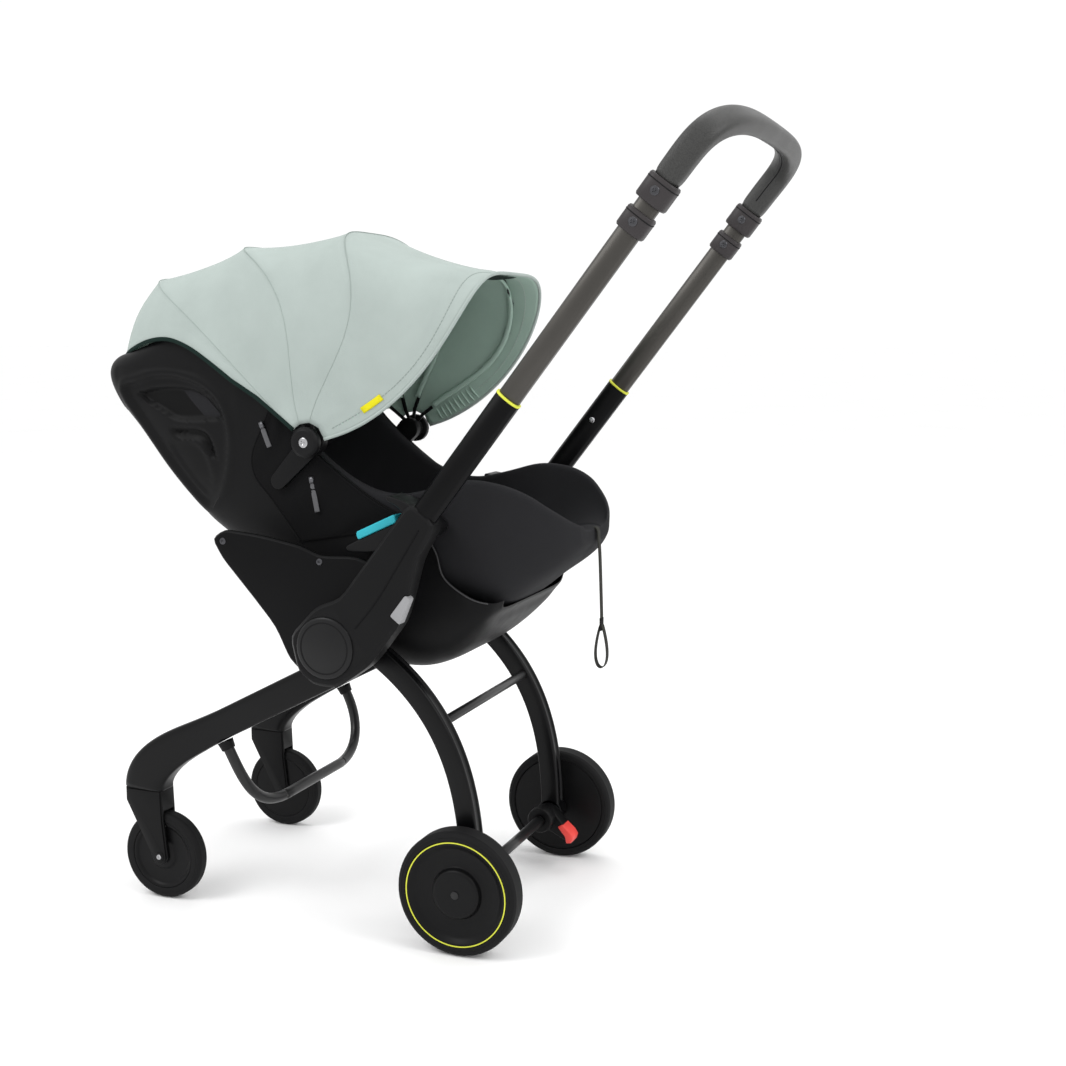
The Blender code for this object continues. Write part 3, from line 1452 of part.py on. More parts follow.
def harness():
    """Shoulder straps and their buckle on the crotch strap."""
    web = material("webbing", CHARCOAL, 0.8)
    tongue = [(-0.045, 0.4650), (-0.0225, 0.4640), (-0.0225, 0.4690), (-0.045, 0.4700)]
    straps = add_object(
        "harness", mesh_from("harness", extruded(tongue, -0.034, 0.034)), web, (0, -0.03, 0.466)
    )
    for side, facing in two_sides():
        path = [
            (facing * 0.030, -0.2598, 0.5524),
            (facing * 0.034, -0.212, 0.5225),
            (facing * 0.036, -0.150, 0.4920),
            (facing * 0.030, -0.080, 0.4730),
            (facing * 0.018, -0.035, 0.4665),
        ]
        rings = swept([Vector(p) for p in path], (0.017, 0.0025), 4, 8.0)
        combine(straps, cutter(f"add_harness_{side}", mesh_from("strap", loft(rings))), "UNION")
    outline = [
        (-0.020, 0.4560),
        (0.026, 0.4620),
        (0.030, 0.4700),
        (0.024, 0.4770),
        (-0.016, 0.4790),
        (-0.022, 0.4720),
    ]
    mesh = mesh_from("buckle", extruded(soften(outline, 0.004), -0.024, 0.024, 0.003, 1))
    buckle = add_object("buckle", mesh, material("moulding", GRAPHITE, 0.42), (0, 0, 0.47))
    crotch = [(0.0180, 0.4299), (0.0240, 0.4307), (0.0160, 0.4600), (0.0100, 0.4600)]
    strap = mesh_from("crotch_strap", extruded(crotch, -0.017, 0.017))
    combine(buckle, cutter("add_crotch_strap", strap), "UNION")
    (back_y, back_z), (front_y, front_z) = BUCKLE_BUTTON
    half = BUCKLE_BUTTON_HALF
    deep = BUCKLE_TRAVEL + GAP
    pocket = [
        (back_y - GAP, back_z - deep),
        (front_y + GAP, front_z - deep),
        (front_y + GAP, front_z + 0.01),
        (back_y - GAP, back_z + 0.01),
    ]
    hollow = mesh_from("buckle_pocket", extruded(pocket, -half - GAP, half + GAP))
    combine(buckle, cutter("cut_buckle_pocket", hollow), "DIFFERENCE")
    key = [
        (back_y, back_z),
        (front_y, front_z),
        (front_y - 0.002, front_z + BUCKLE_BUTTON_TALL),
        (back_y + 0.002, back_z + BUCKLE_BUTTON_TALL),
    ]
    add_object(
        "buckle_button",
        mesh_from("buckle_button", extruded(key, -half, half)),
        material("pedal_red", RED, 0.4),
        (0, back_y, back_z),
    )


# The hanging adjuster strap: places along it in the side view, from the slot in the foot end
STRAP_WIDTH = 0.0100
STRAP_THICK = 0.0016
STRAP_ROUTE = [
    (0.1890, 0.4963),
    (0.1980, 0.4979),
    (0.2080, 0.4984),
    (0.2118, 0.4945),
    (0.2128, 0.4850),
    (0.2145, 0.4600),
    (0.2160, 0.4200),
    (0.2170, 0.3800),
    (0.2170, 0.3200),
]


def adjuster_strap():
    """The flat strap that tightens the harness, hanging over the foot end."""
    path = smooth_path([(0, *p) for p in STRAP_ROUTE], 3)
    rings = swept(path, (STRAP_WIDTH / 2, STRAP_THICK / 2), 4, 8.0)
    add_object(
        "adjuster_strap",
        mesh_from("adjuster_strap", loft(rings)),
        material("webbing", CHARCOAL, 0.8),
        path[0],
    )


def main():
    clear_scene()
    rear_wheels()
    front_wheels()
    casters()
    front_legs()
    rear_legs()
    rear_axle_group()
    front_bar()
    hub_pins()
    handle_arms()
    arm_buttons()
    hub_caps()
    handle_tubes()
    grip()
    shell = seat_shell()
    side_panels()
    belt_guides()
    canopy_bows()
    canopy_pivots(shell)
    canopy_panels()
    seat_liner()
    head_pad()
    harness()
    adjuster_strap()


main()
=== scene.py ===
"""The finished look of a car seat stroller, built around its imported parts."""

import json
import math

import bmesh
import bpy
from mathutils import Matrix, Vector
from mathutils import noise

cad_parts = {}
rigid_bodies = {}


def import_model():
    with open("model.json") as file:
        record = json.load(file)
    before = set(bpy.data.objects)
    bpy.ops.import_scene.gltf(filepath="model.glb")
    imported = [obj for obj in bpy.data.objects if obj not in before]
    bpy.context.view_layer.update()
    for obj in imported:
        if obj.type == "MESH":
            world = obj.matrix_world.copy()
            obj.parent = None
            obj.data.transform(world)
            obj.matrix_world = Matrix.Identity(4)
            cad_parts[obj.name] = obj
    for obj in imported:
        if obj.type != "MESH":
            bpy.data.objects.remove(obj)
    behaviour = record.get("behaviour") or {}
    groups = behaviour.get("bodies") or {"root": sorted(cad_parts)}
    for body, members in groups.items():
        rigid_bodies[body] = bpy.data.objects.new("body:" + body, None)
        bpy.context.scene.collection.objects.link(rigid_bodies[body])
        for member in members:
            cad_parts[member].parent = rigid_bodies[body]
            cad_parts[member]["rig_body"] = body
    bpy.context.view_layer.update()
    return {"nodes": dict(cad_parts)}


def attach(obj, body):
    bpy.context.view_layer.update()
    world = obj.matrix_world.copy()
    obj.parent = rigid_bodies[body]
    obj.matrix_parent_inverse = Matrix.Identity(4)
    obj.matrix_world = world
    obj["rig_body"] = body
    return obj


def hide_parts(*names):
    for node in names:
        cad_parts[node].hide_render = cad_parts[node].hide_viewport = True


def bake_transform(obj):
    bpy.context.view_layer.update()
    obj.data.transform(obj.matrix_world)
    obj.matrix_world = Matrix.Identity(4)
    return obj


for startup in list(bpy.data.objects):
    bpy.data.objects.remove(startup)
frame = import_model()
nodes = frame["nodes"]

# Camera
CAMERA_PLACE = (1.6948, 0.7686, 0.7337)
CAMERA_TARGET = (0.0, 0.1250, 0.4868)
CAMERA_LENS = 48.768


def aimed(name, data, place, target):
    """A camera or a lamp that looks from its place at a target."""
    made = bpy.data.objects.new(name, data)
    made.location = place
    made.rotation_euler = (Vector(target) - Vector(place)).to_track_quat("-Z", "Y").to_euler()
    bpy.context.scene.collection.objects.link(made)
    return made


camera_data = bpy.data.cameras.new("camera")
camera_data.lens = CAMERA_LENS
camera_data.sensor_width = 36.0
bpy.context.scene.camera = aimed("camera", camera_data, CAMERA_PLACE, CAMERA_TARGET)

# A hoop's numbers are its low and high x, its inner and outer radius and the ease of its corners
WHEEL_RING = (0.0140, 0.0156, 0.0632, 0.0647, 0.0004)
CAP_RING = (0.2196, 0.2203, 0.0300, 0.0318, 0.0003)
HUB_BOSS = (0.1080, 0.1302, 0.0126, 0.0240, 0.0008)
SCREW_RADIUS = {"collar": 0.0052, "tube": 0.0038, "knob": 0.0062, "panel": 0.0042, "caster": 0.0034}

# Shared sizes, as the part has them
SIDES = (("left", 1), ("right", -1))
X_AXIS = Vector((1, 0, 0))
SHELL_HALF = 0.130
HUB = (-0.056, 0.368)
HANDLE_TILT = math.radians(37.7)
HANDLE_X = 0.2037
ARM_OUT = 0.2175
PANEL_OUT = 0.1833
PIVOT = (-0.111, 0.606)
BOW_HALF_WIDTH = 0.144
EAR_OUTSIDE = 0.1521
# Each bow's crown angle in degrees, radius, droop in degrees and the squareness of its curve
BOWS = {
    "bow_a": (143, 0.335, 4, 3.2),
    "bow_b": (120, 0.276, 17, 3.4),
    "bow_c": (87, 0.255, 18, 3.8),
    "bow_d": (52, 0.264, 15, 4.6),
}
BOW_BODY = {"bow_a": "seat", "bow_b": "canopy_b", "bow_c": "canopy_c", "bow_d": "canopy_d"}
BOW_TURN_SHARE = {"bow_a": 0.0, "bow_b": 0.26, "bow_c": 0.60, "bow_d": 1.0}


# Lines


def spline(before, start, end, after, t):
    """The place at share t from start to end, on the smooth curve through all four."""
    turn = (2 * before - 5 * start + 4 * end - after) * t * t
    return 0.5 * (2 * start + (end - before) * t + turn + (3 * start - before - 3 * end + after) * t**3)


def smooth_path(points, steps):
    """A smooth curve through the points."""
    points = [Vector(p) for p in points]
    ends = [points[0]] + points + [points[-1]]
    path = [spline(*ends[k : k + 4], step / steps) for k in range(len(points) - 1) for step in range(steps)]
    return path + [points[-1]]


def smoothed(outline, steps=4):
    """A closed outline in the side view with its corners rounded off."""
    points = [Vector(p) for p in outline[-1:] + outline + outline[:2]]
    return [tuple(spline(*points[k : k + 4], s / steps)) for k in range(len(outline)) for s in range(steps)]


def path_length(path):
    return sum((b - a).length for a, b in zip(path, path[1:]))


def sample(path, share):
    """The point at this share of a path's length."""
    lengths = [0.0]
    for start, end in zip(path, path[1:]):
        lengths.append(lengths[-1] + (end - start).length)
    wanted = max(0.0, min(1.0, share)) * lengths[-1]
    for index in range(1, len(path)):
        if lengths[index] >= wanted or index == len(path) - 1:
            span = max(lengths[index] - lengths[index - 1], 1e-9)
            return path[index - 1].lerp(path[index], (wanted - lengths[index - 1]) / span)


def evenly(path, count):
    """The path again as count equal steps."""
    return [sample(path, index / count) for index in range(count + 1)]


def mirrored(path):
    """The path on the other side, from its end to its start."""
    return [Vector((-p.x, p.y, p.z)) for p in reversed(path)]


def heading(path, index):
    """The direction of a path at one of its points."""
    return (path[min(index + 1, len(path) - 1)] - path[max(index - 1, 0)]).normalized()


def bezier(knots, count):
    made = []
    for index in range(count + 1):
        t = index / count
        weights = ((1 - t) ** 3, 3 * t * (1 - t) ** 2, 3 * t**2 * (1 - t), t**3)
        point = knots[0] * weights[0]
        for knot, weight in zip(knots[1:], weights[1:]):
            point = point + knot * weight
        made.append(point)
    return made


def rounded(angle, power):
    """A point of the unit curve that runs from a circle at power 2 towards a square."""
    parts = (math.cos(angle), math.sin(angle))
    return [math.copysign(abs(part) ** (2 / power), part) for part in parts]


def oval(centre, side, out, wide, deep, sides, power=2.0):
    """A ring of points round a centre: half as wide along side, half as deep along out."""
    turns = [rounded(2 * math.pi * k / sides, power) for k in range(sides)]
    return [centre + side * wide * u + out * deep * v for u, v in turns]


def step_up(value, width):
    """0 below zero, 1 above the width, and a smooth rise between."""
    t = max(0.0, min(1.0, value / width))
    return t * t * (3 - 2 * t)


def swell(low, more):
    """A half that is low at both ends of a bar and by more in its middle."""
    return lambda share: low + more * math.sin(math.pi * share)


def handle_point(along, aside=0.0, x=HANDLE_X):
    """A place on the handle: along its line from the hub, and aside towards the pusher."""
    y = HUB[0] + along * math.sin(HANDLE_TILT) + aside * math.cos(HANDLE_TILT)
    z = HUB[1] + along * math.cos(HANDLE_TILT) - aside * math.sin(HANDLE_TILT)
    return Vector((x, y, z))


# Mesh helpers


def add_piece(name, mesh, look, smooth=True):
    piece = bpy.data.objects.new(name, mesh)
    bpy.context.scene.collection.objects.link(piece)
    for surface in look if isinstance(look, list) else [look]:
        mesh.materials.append(surface)
    mesh.polygons.foreach_set("use_smooth", [smooth] * len(mesh.polygons))
    return piece


def applied(piece, kind, **values):
    """The piece with a modifier made part of its mesh."""
    modifier = piece.modifiers.new(kind, kind)
    for key, value in values.items():
        setattr(modifier, key, value)
    bpy.context.view_layer.update()
    graph = bpy.context.evaluated_depsgraph_get()
    source = piece.evaluated_get(graph)
    mesh = bpy.data.meshes.new_from_object(source, preserve_all_data_layers=True, depsgraph=graph)
    piece.modifiers.clear()
    piece.data = mesh
    return piece


def closed(piece, faces=(), merge=0.0):
    """The piece with more faces between its points, or merged and with its holes filled, all facing out."""
    work = bmesh.new()
    work.from_mesh(piece.data)
    work.verts.ensure_lookup_table()
    for face in faces:
        work.faces.new([work.verts[i] for i in face])
    if merge:
        bmesh.ops.remove_doubles(work, verts=work.verts, dist=merge)
        bmesh.ops.holes_fill(work, edges=work.edges)
    bmesh.ops.recalc_face_normals(work, faces=work.faces)
    work.to_mesh(piece.data)
    work.free()
    return piece


def solid(name, points, faces, look, smooth=True):
    """A piece from its points and its faces."""
    mesh = bpy.data.meshes.new(name)
    mesh.from_pydata([tuple(p) for p in points], [], [tuple(face) for face in faces])
    return closed(add_piece(name, mesh, look, smooth))


def skin(rows, count, wrap=True):
    """The faces between rows of count points each."""
    faces = []
    for base in range(0, (rows - 1) * count, count):
        for c in range(count if wrap else count - 1):
            d = (c + 1) % count
            faces.append((base + c, base + d, base + count + d, base + count + c))
    return faces


def capped_skin(rows, count, first=0):
    """The faces round rows of points with both ends filled, for points numbered from first."""
    ends = [range(count - 1, -1, -1), range((rows - 1) * count, rows * count)]
    return [[first + i for i in face] for face in skin(rows, count) + ends]


def grid(name, rows, look, shares=None, wrap=False):
    """A sheet through rows of points, with its weave laid out in metres."""
    count = len(rows[0])
    mesh = bpy.data.meshes.new(name)
    mesh.from_pydata([tuple(p) for row in rows for p in row], [], skin(len(rows), count, wrap))
    middle = rows[len(rows) // 2]
    along = [0.0]
    for c in range(count):
        along.append(along[-1] + (middle[(c + 1) % count] - middle[c]).length)
    across = [0.0]
    for row, after in zip(rows, rows[1:]):
        across.append(across[-1] + (after[count // 2] - row[count // 2]).length)
    layer = mesh.uv_layers.new(name="weave")
    for face in mesh.polygons:
        for loop, vert in zip(face.loop_indices, face.vertices):
            r, c = divmod(vert, count)
            if wrap and c == 0 and any(v % count == count - 1 for v in face.vertices):
                c = count
            layer.data[loop].uv = (along[c], across[r])
    if shares:
        attribute = mesh.attributes.new("share", "FLOAT", "POINT")
        attribute.data.foreach_set("value", [share for share in shares for _ in range(count)])
    return add_piece(name, mesh, look)


def loft(name, rings, look):
    """A skin round rings of points with both ends filled."""
    sides = len(rings[0])
    total = sides * len(rings)
    return closed(grid(name, rings, look, wrap=True), [range(sides), range(total - sides, total)])


def swept(name, path, wide, deep, look, sides=16, power=2.0, across=X_AXIS):
    """A bar along a path. Its halves wide and deep are numbers or functions of the share of its length."""
    path = [Vector(p) for p in path]
    across = Vector(across)
    rings = []
    for index, point in enumerate(path):
        ahead = heading(path, index)
        side = (across - ahead * across.dot(ahead)).normalized()
        share = index / (len(path) - 1)
        halves = [half(share) if callable(half) else half for half in (wide, deep)]
        rings.append(oval(point, side, ahead.cross(side), *halves, sides, power))
    return loft(name, rings, look)


def turned(name, profile, centre, look, sides=48, facing=1):
    """A form turned about an axis along X: the profile holds (x, radius) from the middle out."""
    rings = []
    for x, radius in profile:
        reach = max(radius, 1e-5)
        place = Vector((centre[0] + facing * x, *centre[1:]))
        rings.append(oval(place, Vector((0, 1, 0)), Vector((0, 0, 1)), reach, reach, sides))
    return closed(grid(name, rings, look, wrap=True), merge=5e-5)


def eased(profile, radius, steps=4):
    """An open profile with its inner corners rounded."""
    points = [Vector(p) for p in profile]
    made = [points[0]]
    for before, corner, after in zip(points, points[1:], points[2:]):
        reach = min(radius, (before - corner).length * 0.45, (after - corner).length * 0.45)
        start = corner + (before - corner).normalized() * reach
        end = corner + (after - corner).normalized() * reach
        for step in range(steps + 1):
            t = step / steps
            made.append(start * (1 - t) ** 2 + corner * 2 * t * (1 - t) + end * t * t)
    return [tuple(p) for p in made + points[-1:]]


def hoop(name, low, high, inner, outer, ease, centre, look, sides=48, facing=1):
    """A ring about an axis along X, with a rectangular section and rounded edges."""
    corners = [(low, inner), (low, outer), (high, outer), (high, inner), (low, inner)]
    return turned(name, eased(corners, ease), centre, look, sides, facing)


def soft_edges(piece, width, segments, angle):
    """Rounds the sharp edges of a hard piece and keeps its flat faces flat."""
    weld = piece.modifiers.new("weld", "WELD")
    weld.merge_threshold = 1e-5
    if width > 0:
        bevel = piece.modifiers.new("edges", "BEVEL")
        bevel.width = width
        bevel.segments = segments
        bevel.limit_method = "ANGLE"
        bevel.angle_limit = math.radians(angle)
    split = piece.modifiers.new("split", "EDGE_SPLIT")
    split.split_angle = math.radians(angle)
    piece.data.polygons.foreach_set("use_smooth", [True] * len(piece.data.polygons))
    return piece


def plate(name, outline, low, high, look, edge=0.0010):
    """A flat plate with an outline in the side view and rounded edges."""
    count = len(outline)
    points = [(x, y, z) for x in (low, high) for y, z in outline]
    faces = [range(count), range(2 * count - 1, count - 1, -1)]
    faces += [((k + 1) % count, k, count + k, count + (k + 1) % count) for k in range(count)]
    return soft_edges(solid(name, points, faces, look), edge, 3, 35.0)


def screw(name, centre, normal, radius, look):
    """A small screw with a rounded head and a cross slot sunk in it."""
    normal = Vector(normal)
    side = normal.orthogonal().normalized()
    up = normal.cross(side)
    points = []
    for reach, height in ((1.0, -0.0006), (1.0, 0.0004), (0.86, 0.0010), (0.45, 0.0013)):
        points += oval(Vector(centre) + normal * height, side, up, radius * reach, radius * reach, 24)
    pit = Vector(centre) + normal * 0.0002
    for k, point in enumerate(oval(pit, side, up, radius, radius, 24)):
        points.append(pit.lerp(point, 0.40 if k % 6 in (0, 1, 5) else 0.16))
    return solid(name, points, capped_skin(5, 24), look, smooth=False)


def ride(piece, body, slot, *stands_for):
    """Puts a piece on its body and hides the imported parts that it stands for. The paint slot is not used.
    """
    if stands_for:
        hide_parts(*stands_for)
    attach(piece, body)
    return piece


def body_of(name):
    return nodes[name]["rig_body"]


def stitches(name, path, look, body, slot, length=0.0032, pitch=0.0048, radius=0.00045):
    """A row of thread stitches along a path."""
    points, faces = [], []
    count = int(path_length(path) / pitch)
    for index in range(count):
        start = sample(path, (index + 0.15) / count)
        end = sample(path, (index + 0.15 + length / pitch) / count)
        ahead = end - start
        if ahead.length < 1e-6:
            continue
        side = ahead.orthogonal().normalized()
        out = ahead.normalized().cross(side)
        faces += capped_skin(4, 6, len(points))
        for t, size in ((0.0, 0.45), (0.25, 1.0), (0.75, 1.0), (1.0, 0.45)):
            points += oval(start.lerp(end, t), side, out, radius * size, radius * size, 6)
    ride(solid(name, points, faces, look), body, slot)


# Materials


def tone(text):
    """A linear colour from six hexadecimal digits."""
    values = [int(text[i : i + 2], 16) / 255 for i in (0, 2, 4)]
    return tuple(v / 12.92 if v <= 0.04045 else ((v + 0.055) / 1.055) ** 2.4 for v in values) + (1.0,)


def shade(colour, share, lift=0.0):
    """The colour at a share of its light, with a little more light added."""
    return tuple(min(1.0, value * share + lift) for value in colour[:3]) + (1.0,)


class Surface:
    """A principled material and short ways to wire it."""

    def __init__(self, name, colour, roughness, **values):
        self.material = bpy.data.materials.new(name)
        self.material.use_nodes = True
        self.material.diffuse_color = colour
        self.tree = self.material.node_tree
        self.shader = self.tree.nodes["Principled BSDF"]
        self.fill(self.shader, {"Base Color": colour, "Roughness": roughness})
        self.fill(self.shader, {key.replace("_", " "): value for key, value in values.items()})

    def fill(self, node, inputs):
        """Gives inputs of a node their value, or a link where the value is another node's output."""
        for key, value in inputs.items():
            if isinstance(value, bpy.types.NodeSocket):
                self.tree.links.new(value, node.inputs[key])
            else:
                node.inputs[key].default_value = value

    def node(self, kind, output, inputs={}, **settings):
        """An output of a new node."""
        made = self.tree.nodes.new("ShaderNode" + kind)
        for key, value in settings.items():
            setattr(made, key, value)
        self.fill(made, inputs)
        return made.outputs[output]

    def place(self, scale=(1, 1, 1), space="Object"):
        return self.node("Mapping", "Vector", {"Scale": scale, "Vector": self.node("TexCoord", space)})

    def noise(self, scale, detail=3.0, roughness=0.55, stretch=(1, 1, 1)):
        inputs = {"Scale": scale, "Detail": detail, "Roughness": roughness, "Vector": self.place(stretch)}
        return self.node("TexNoise", "Fac", inputs)

    def ramp(self, factor, low, high, start=0.0, end=1.0):
        inputs = {"Value": factor, "From Min": start, "From Max": end, "To Min": low, "To Max": high}
        return self.node("MapRange", "Result", inputs)

    def mix(self, factor, first, second):
        return self.node("Mix", "Result", {"Factor": factor, "A": first, "B": second}, data_type="RGBA")

    def math(self, operation, first, second):
        return self.node("Math", 0, {0: first, 1: second}, operation=operation)

    def finish(self, colour, roughness, height, strength, distance):
        """The material, once its colour, its roughness and its bump are wired."""
        inputs = {"Height": height, "Strength": strength, "Distance": distance}
        bump = self.node("Bump", "Normal", inputs)
        self.fill(self.shader, {"Base Color": colour, "Roughness": roughness, "Normal": bump})
        return self.material


def plastic(name, colour, roughness, specular=0.2, grain=1400.0, depth=0.00006, wear=0.12, sunk=""):
    """Moulded plastic: fine spark grain, a cloudy finish, paler worn edges and, where a mask is named,
    painted shade that darkens the pockets.
    """
    s = Surface(name, colour, roughness, Specular_IOR_Level=specular)
    edge = s.node("NewGeometry", "Pointiness")
    worn = s.math("MULTIPLY", s.ramp(edge, 0.0, 1.0, 0.53, 0.62), s.ramp(s.noise(95.0), 0.3, 1.0))
    body = s.mix(s.noise(22.0, 4.0), shade(colour, 0.82), shade(colour, 1.22))
    body = s.mix(s.math("MULTIPLY", worn, wear), body, shade(colour, 1.5, 0.02))
    # Painted shade: where the named mask is set, the colour darkens to about a third, standing in for the
    # shadow in the shell's pockets
    if sunk:
        body = s.mix(s.node("Attribute", "Fac", attribute_name=sunk), body, shade(colour, 0.35))
    matt = s.ramp(s.noise(60.0), roughness - 0.07, roughness + 0.08)
    return s.finish(body, matt, s.noise(grain, 2.0, 0.6), 0.45, depth)


def metal(name, colour, roughness, along=(1, 1, 1), metallic=0.85, coat=0.0):
    """Anodised or lacquered tube with a drawn grain along its length."""
    sheen = {"Coat_Weight": coat, "Coat_Roughness": 0.16, "Specular_IOR_Level": 0.25}
    s = Surface(name, colour, roughness, Metallic=metallic, **sheen)
    grain = s.noise(420.0, 3.0, 0.6, along)
    body = s.mix(s.noise(9.0, 3.0), shade(colour, 0.86), shade(colour, 1.16))
    return s.finish(body, s.ramp(grain, roughness - 0.06, roughness + 0.09), grain, 0.25, 0.00004)


def rubber(name, colour, roughness):
    """Matt rubber with dust in its grain."""
    s = Surface(name, colour, roughness, Specular_IOR_Level=0.18)
    dust = s.noise(30.0, 5.0, 0.65)
    body = s.mix(s.ramp(dust, 0.0, 1.0, 0.35, 0.75), shade(colour, 0.85), shade(colour, 1.45))
    matt = s.ramp(dust, roughness - 0.05, roughness + 0.12)
    return s.finish(body, matt, s.noise(900.0, 2.0), 0.5, 0.00012)


# The scale at which one band of threads is a metre wide
BAND_SCALE = 0.314


def cloth(name, colour, pitch, contrast, sheen=0.1, roughness=0.85, depth=0.00022, twill=0.0):
    """Woven fabric: two crossed bands of threads, uneven dye and a soft sheen."""
    s = Surface(name, colour, roughness, Sheen_Weight=sheen, Sheen_Roughness=0.45, Specular_IOR_Level=0.12)
    s.fill(s.shader, {"Sheen Tint": shade(colour, 1.3, 0.03)})
    place = s.place(space="UV")
    bands = []
    for direction, turn in (("X", 0.0), ("Y", twill)):
        if turn:
            place = s.node("Mapping", "Vector", {"Rotation": (0, 0, turn), "Vector": place})
        wave = {"Scale": BAND_SCALE / pitch, "Distortion": 0.35, "Detail": 1.0, "Detail Scale": 2.0}
        wave["Vector"] = place
        bands.append(s.node("TexWave", "Fac", wave, wave_type="BANDS", bands_direction=direction))
    weave = s.math("MAXIMUM", *bands)
    dye = s.noise(16.0, 4.0, 0.6)
    threads = s.mix(weave, shade(colour, 1.0 - contrast), shade(colour, 1.0 + contrast * 0.4))
    faded = s.mix(s.ramp(dye, 0.0, 1.0, 0.3, 0.7), shade(colour, 0.90), shade(colour, 1.08))
    matt = s.ramp(dye, roughness - 0.05, roughness + 0.05)
    height = s.math("ADD", weave, s.math("MULTIPLY", s.noise(260.0), 0.6))
    return s.finish(s.mix(0.5, threads, faded), matt, height, 0.5, depth)


def leather(name, colour, roughness):
    """Artificial leather with a pebbled grain."""
    s = Surface(name, colour, roughness, Specular_IOR_Level=0.3)
    inputs = {"Scale": 620.0, "Vector": s.place()}
    cells = s.node("TexVoronoi", "Distance", inputs, feature="DISTANCE_TO_EDGE")
    grain = s.ramp(cells, 0.0, 1.0, 0.0, 0.18)
    cloud = s.noise(26.0, 4.0)
    body = s.mix(grain, shade(colour, 0.62), s.mix(cloud, shade(colour, 0.88), shade(colour, 1.18)))
    return s.finish(body, s.ramp(cloud, roughness - 0.06, roughness + 0.08), grain, 0.5, 0.00016)


LOOKS = (
    (rubber, "tyre", "0c0c0d", 0.66),
    (plastic, "wheel", "0b0b0c", 0.40, 0.14),
    (plastic, "leg", "060607", 0.30, 0.16, 900.0, 0.00002, 0.05),
    (metal, "bar", "141415", 0.38, (0.05, 1, 1), 0.0, 0.2),
    (plastic, "fork", "09090a", 0.42, 0.14),
    (plastic, "arm", "0b0b0c", 0.46, 0.13),
    (plastic, "cap", "131314", 0.34),
    (plastic, "panel", "050506", 0.42, 0.10),
    # The shell's last value names the mask of painted shade in its pockets
    (plastic, "shell", "0b0b0c", 0.50, 0.12, 900.0, 0.00010, 0.12, "sunk"),
    (plastic, "moulding", "0e0e0f", 0.42, 0.15),
    (plastic, "tube_low", "060607", 0.34, 0.10, 900.0, 0.00002, 0.05),
    (metal, "tube_high", "454340", 0.40, (1, 0.1, 0.1), 0.75, 0.1),
    (plastic, "collar", "343132", 0.42),
    (plastic, "button", "8d8d8f", 0.42),
    (plastic, "red", "dc4a44", 0.34),
    (plastic, "cyan", "2fa6b4", 0.40),
    (plastic, "bow", "0f0f10", 0.45),
    (plastic, "yellow", "cdd146", 0.45),
    (cloth, "tag", "d6cd22", 0.0009, 0.15),
    (metal, "steel", "a8a8aa", 0.26, (1, 1, 1), 1.0),
    (metal, "dark_steel", "4c4c4f", 0.30, (1, 1, 1), 1.0),
    (leather, "grip", "393938", 0.38),
    (cloth, "thread", "1d1d1e", 0.0005, 0.3),
    (cloth, "grip_thread", "4a4a4c", 0.0005, 0.3),
    (cloth, "canopy", "a0aaa6", 0.00075, 0.12, 0.12),
    (cloth, "canopy_inside", "a6bdb1", 0.00075, 0.14),
    (cloth, "canopy_seam", "95a09b", 0.0006, 0.2),
    (cloth, "binding", "12221e", 0.0009, 0.3),
    (cloth, "fabric", "222224", 0.0009, 0.35, 0.05),
    (cloth, "pad", "262628", 0.0011, 0.4, 0.08),
    (cloth, "piping", "0d0d0e", 0.0008, 0.3),
    (cloth, "webbing", "151516", 0.0012, 0.5, 0.1, 0.7, 0.0003, 0.8),
    (cloth, "strap", "2a2a26", 0.0012, 0.5, 0.1, 0.7, 0.0003, 0.8),
    (metal, "zip", "5c5c5f", 0.35, (1, 1, 1), 0.8),
    (cloth, "side_fabric", "0a0a0b", 0.0010, 0.5, 0.06),
    # A piping bead on the shell's rim, its paler grey a painted highlight of the rim's lip
    (plastic, "bead", "3c3c3d", 0.45),
    (cloth, "stitch_white", "c9d2cd", 0.0005, 0.3),
    # Painted shadow: near-black green for the shade in the folded visor's gap under the crown
    (cloth, "crescent", "0c1c18", 0.0012, 0.5, 0.05),
    (cloth, "pull", "5a5a5c", 0.0010, 0.3),
)
looks = {name: make(f"look_{name}", tone(colour), *values) for make, name, colour, *values in LOOKS}

# Adjuster strap: it leaves the slot in the foot end and hangs free, with a sewn loop at its end
STRAP_WIDTH = 0.0100
STRAP_THICK = 0.0016
STRAP_ROUTE = (
    (0.189, 0.4963), (0.198, 0.4979), (0.208, 0.4984), (0.2118, 0.4945), (0.2128, 0.485),
    (0.2145, 0.460), (0.216, 0.420), (0.217, 0.390), (0.217, 0.372),
)
LOOP_FOOT = 0.3205
LOOP_HALF = 0.0105
LOOP_STEPS = 40

strap_path = smooth_path([(0, *place) for place in STRAP_ROUTE], 4)
strap = swept("strap", strap_path, STRAP_WIDTH / 2, STRAP_THICK / 2, looks["strap"], 16, 5.0)
strap_end = strap_path[-1]
loop_top = strap_end.z + 0.004
loop_points = []
for index in range(LOOP_STEPS + 1):
    turn = 2 * math.pi * index / LOOP_STEPS
    fall = (1 - math.cos(turn)) / 2
    swing = LOOP_HALF * math.sin(turn) * (0.35 + 0.65 * fall)
    loop_points.append((0, strap_end.y + swing, loop_top - (loop_top - LOOP_FOOT) * fall))
strap_loop = swept("strap_loop", loop_points, STRAP_WIDTH / 2, STRAP_THICK * 0.4, looks["strap"], 12, 5.0)
tack_path = [(0, strap_end.y, strap_end.z - 0.004), (0, strap_end.y, strap_end.z + 0.012)]
tack_halves = (STRAP_WIDTH / 2 + 0.0003, STRAP_THICK / 2 + 0.0006)
strap_tack = swept("strap_tack", tack_path, *tack_halves, looks["thread"], 12, 6.0)
ride(strap, "seat", "webbing", "adjuster_strap")
ride(strap_loop, "seat", "webbing")
ride(strap_tack, "seat", "webbing")


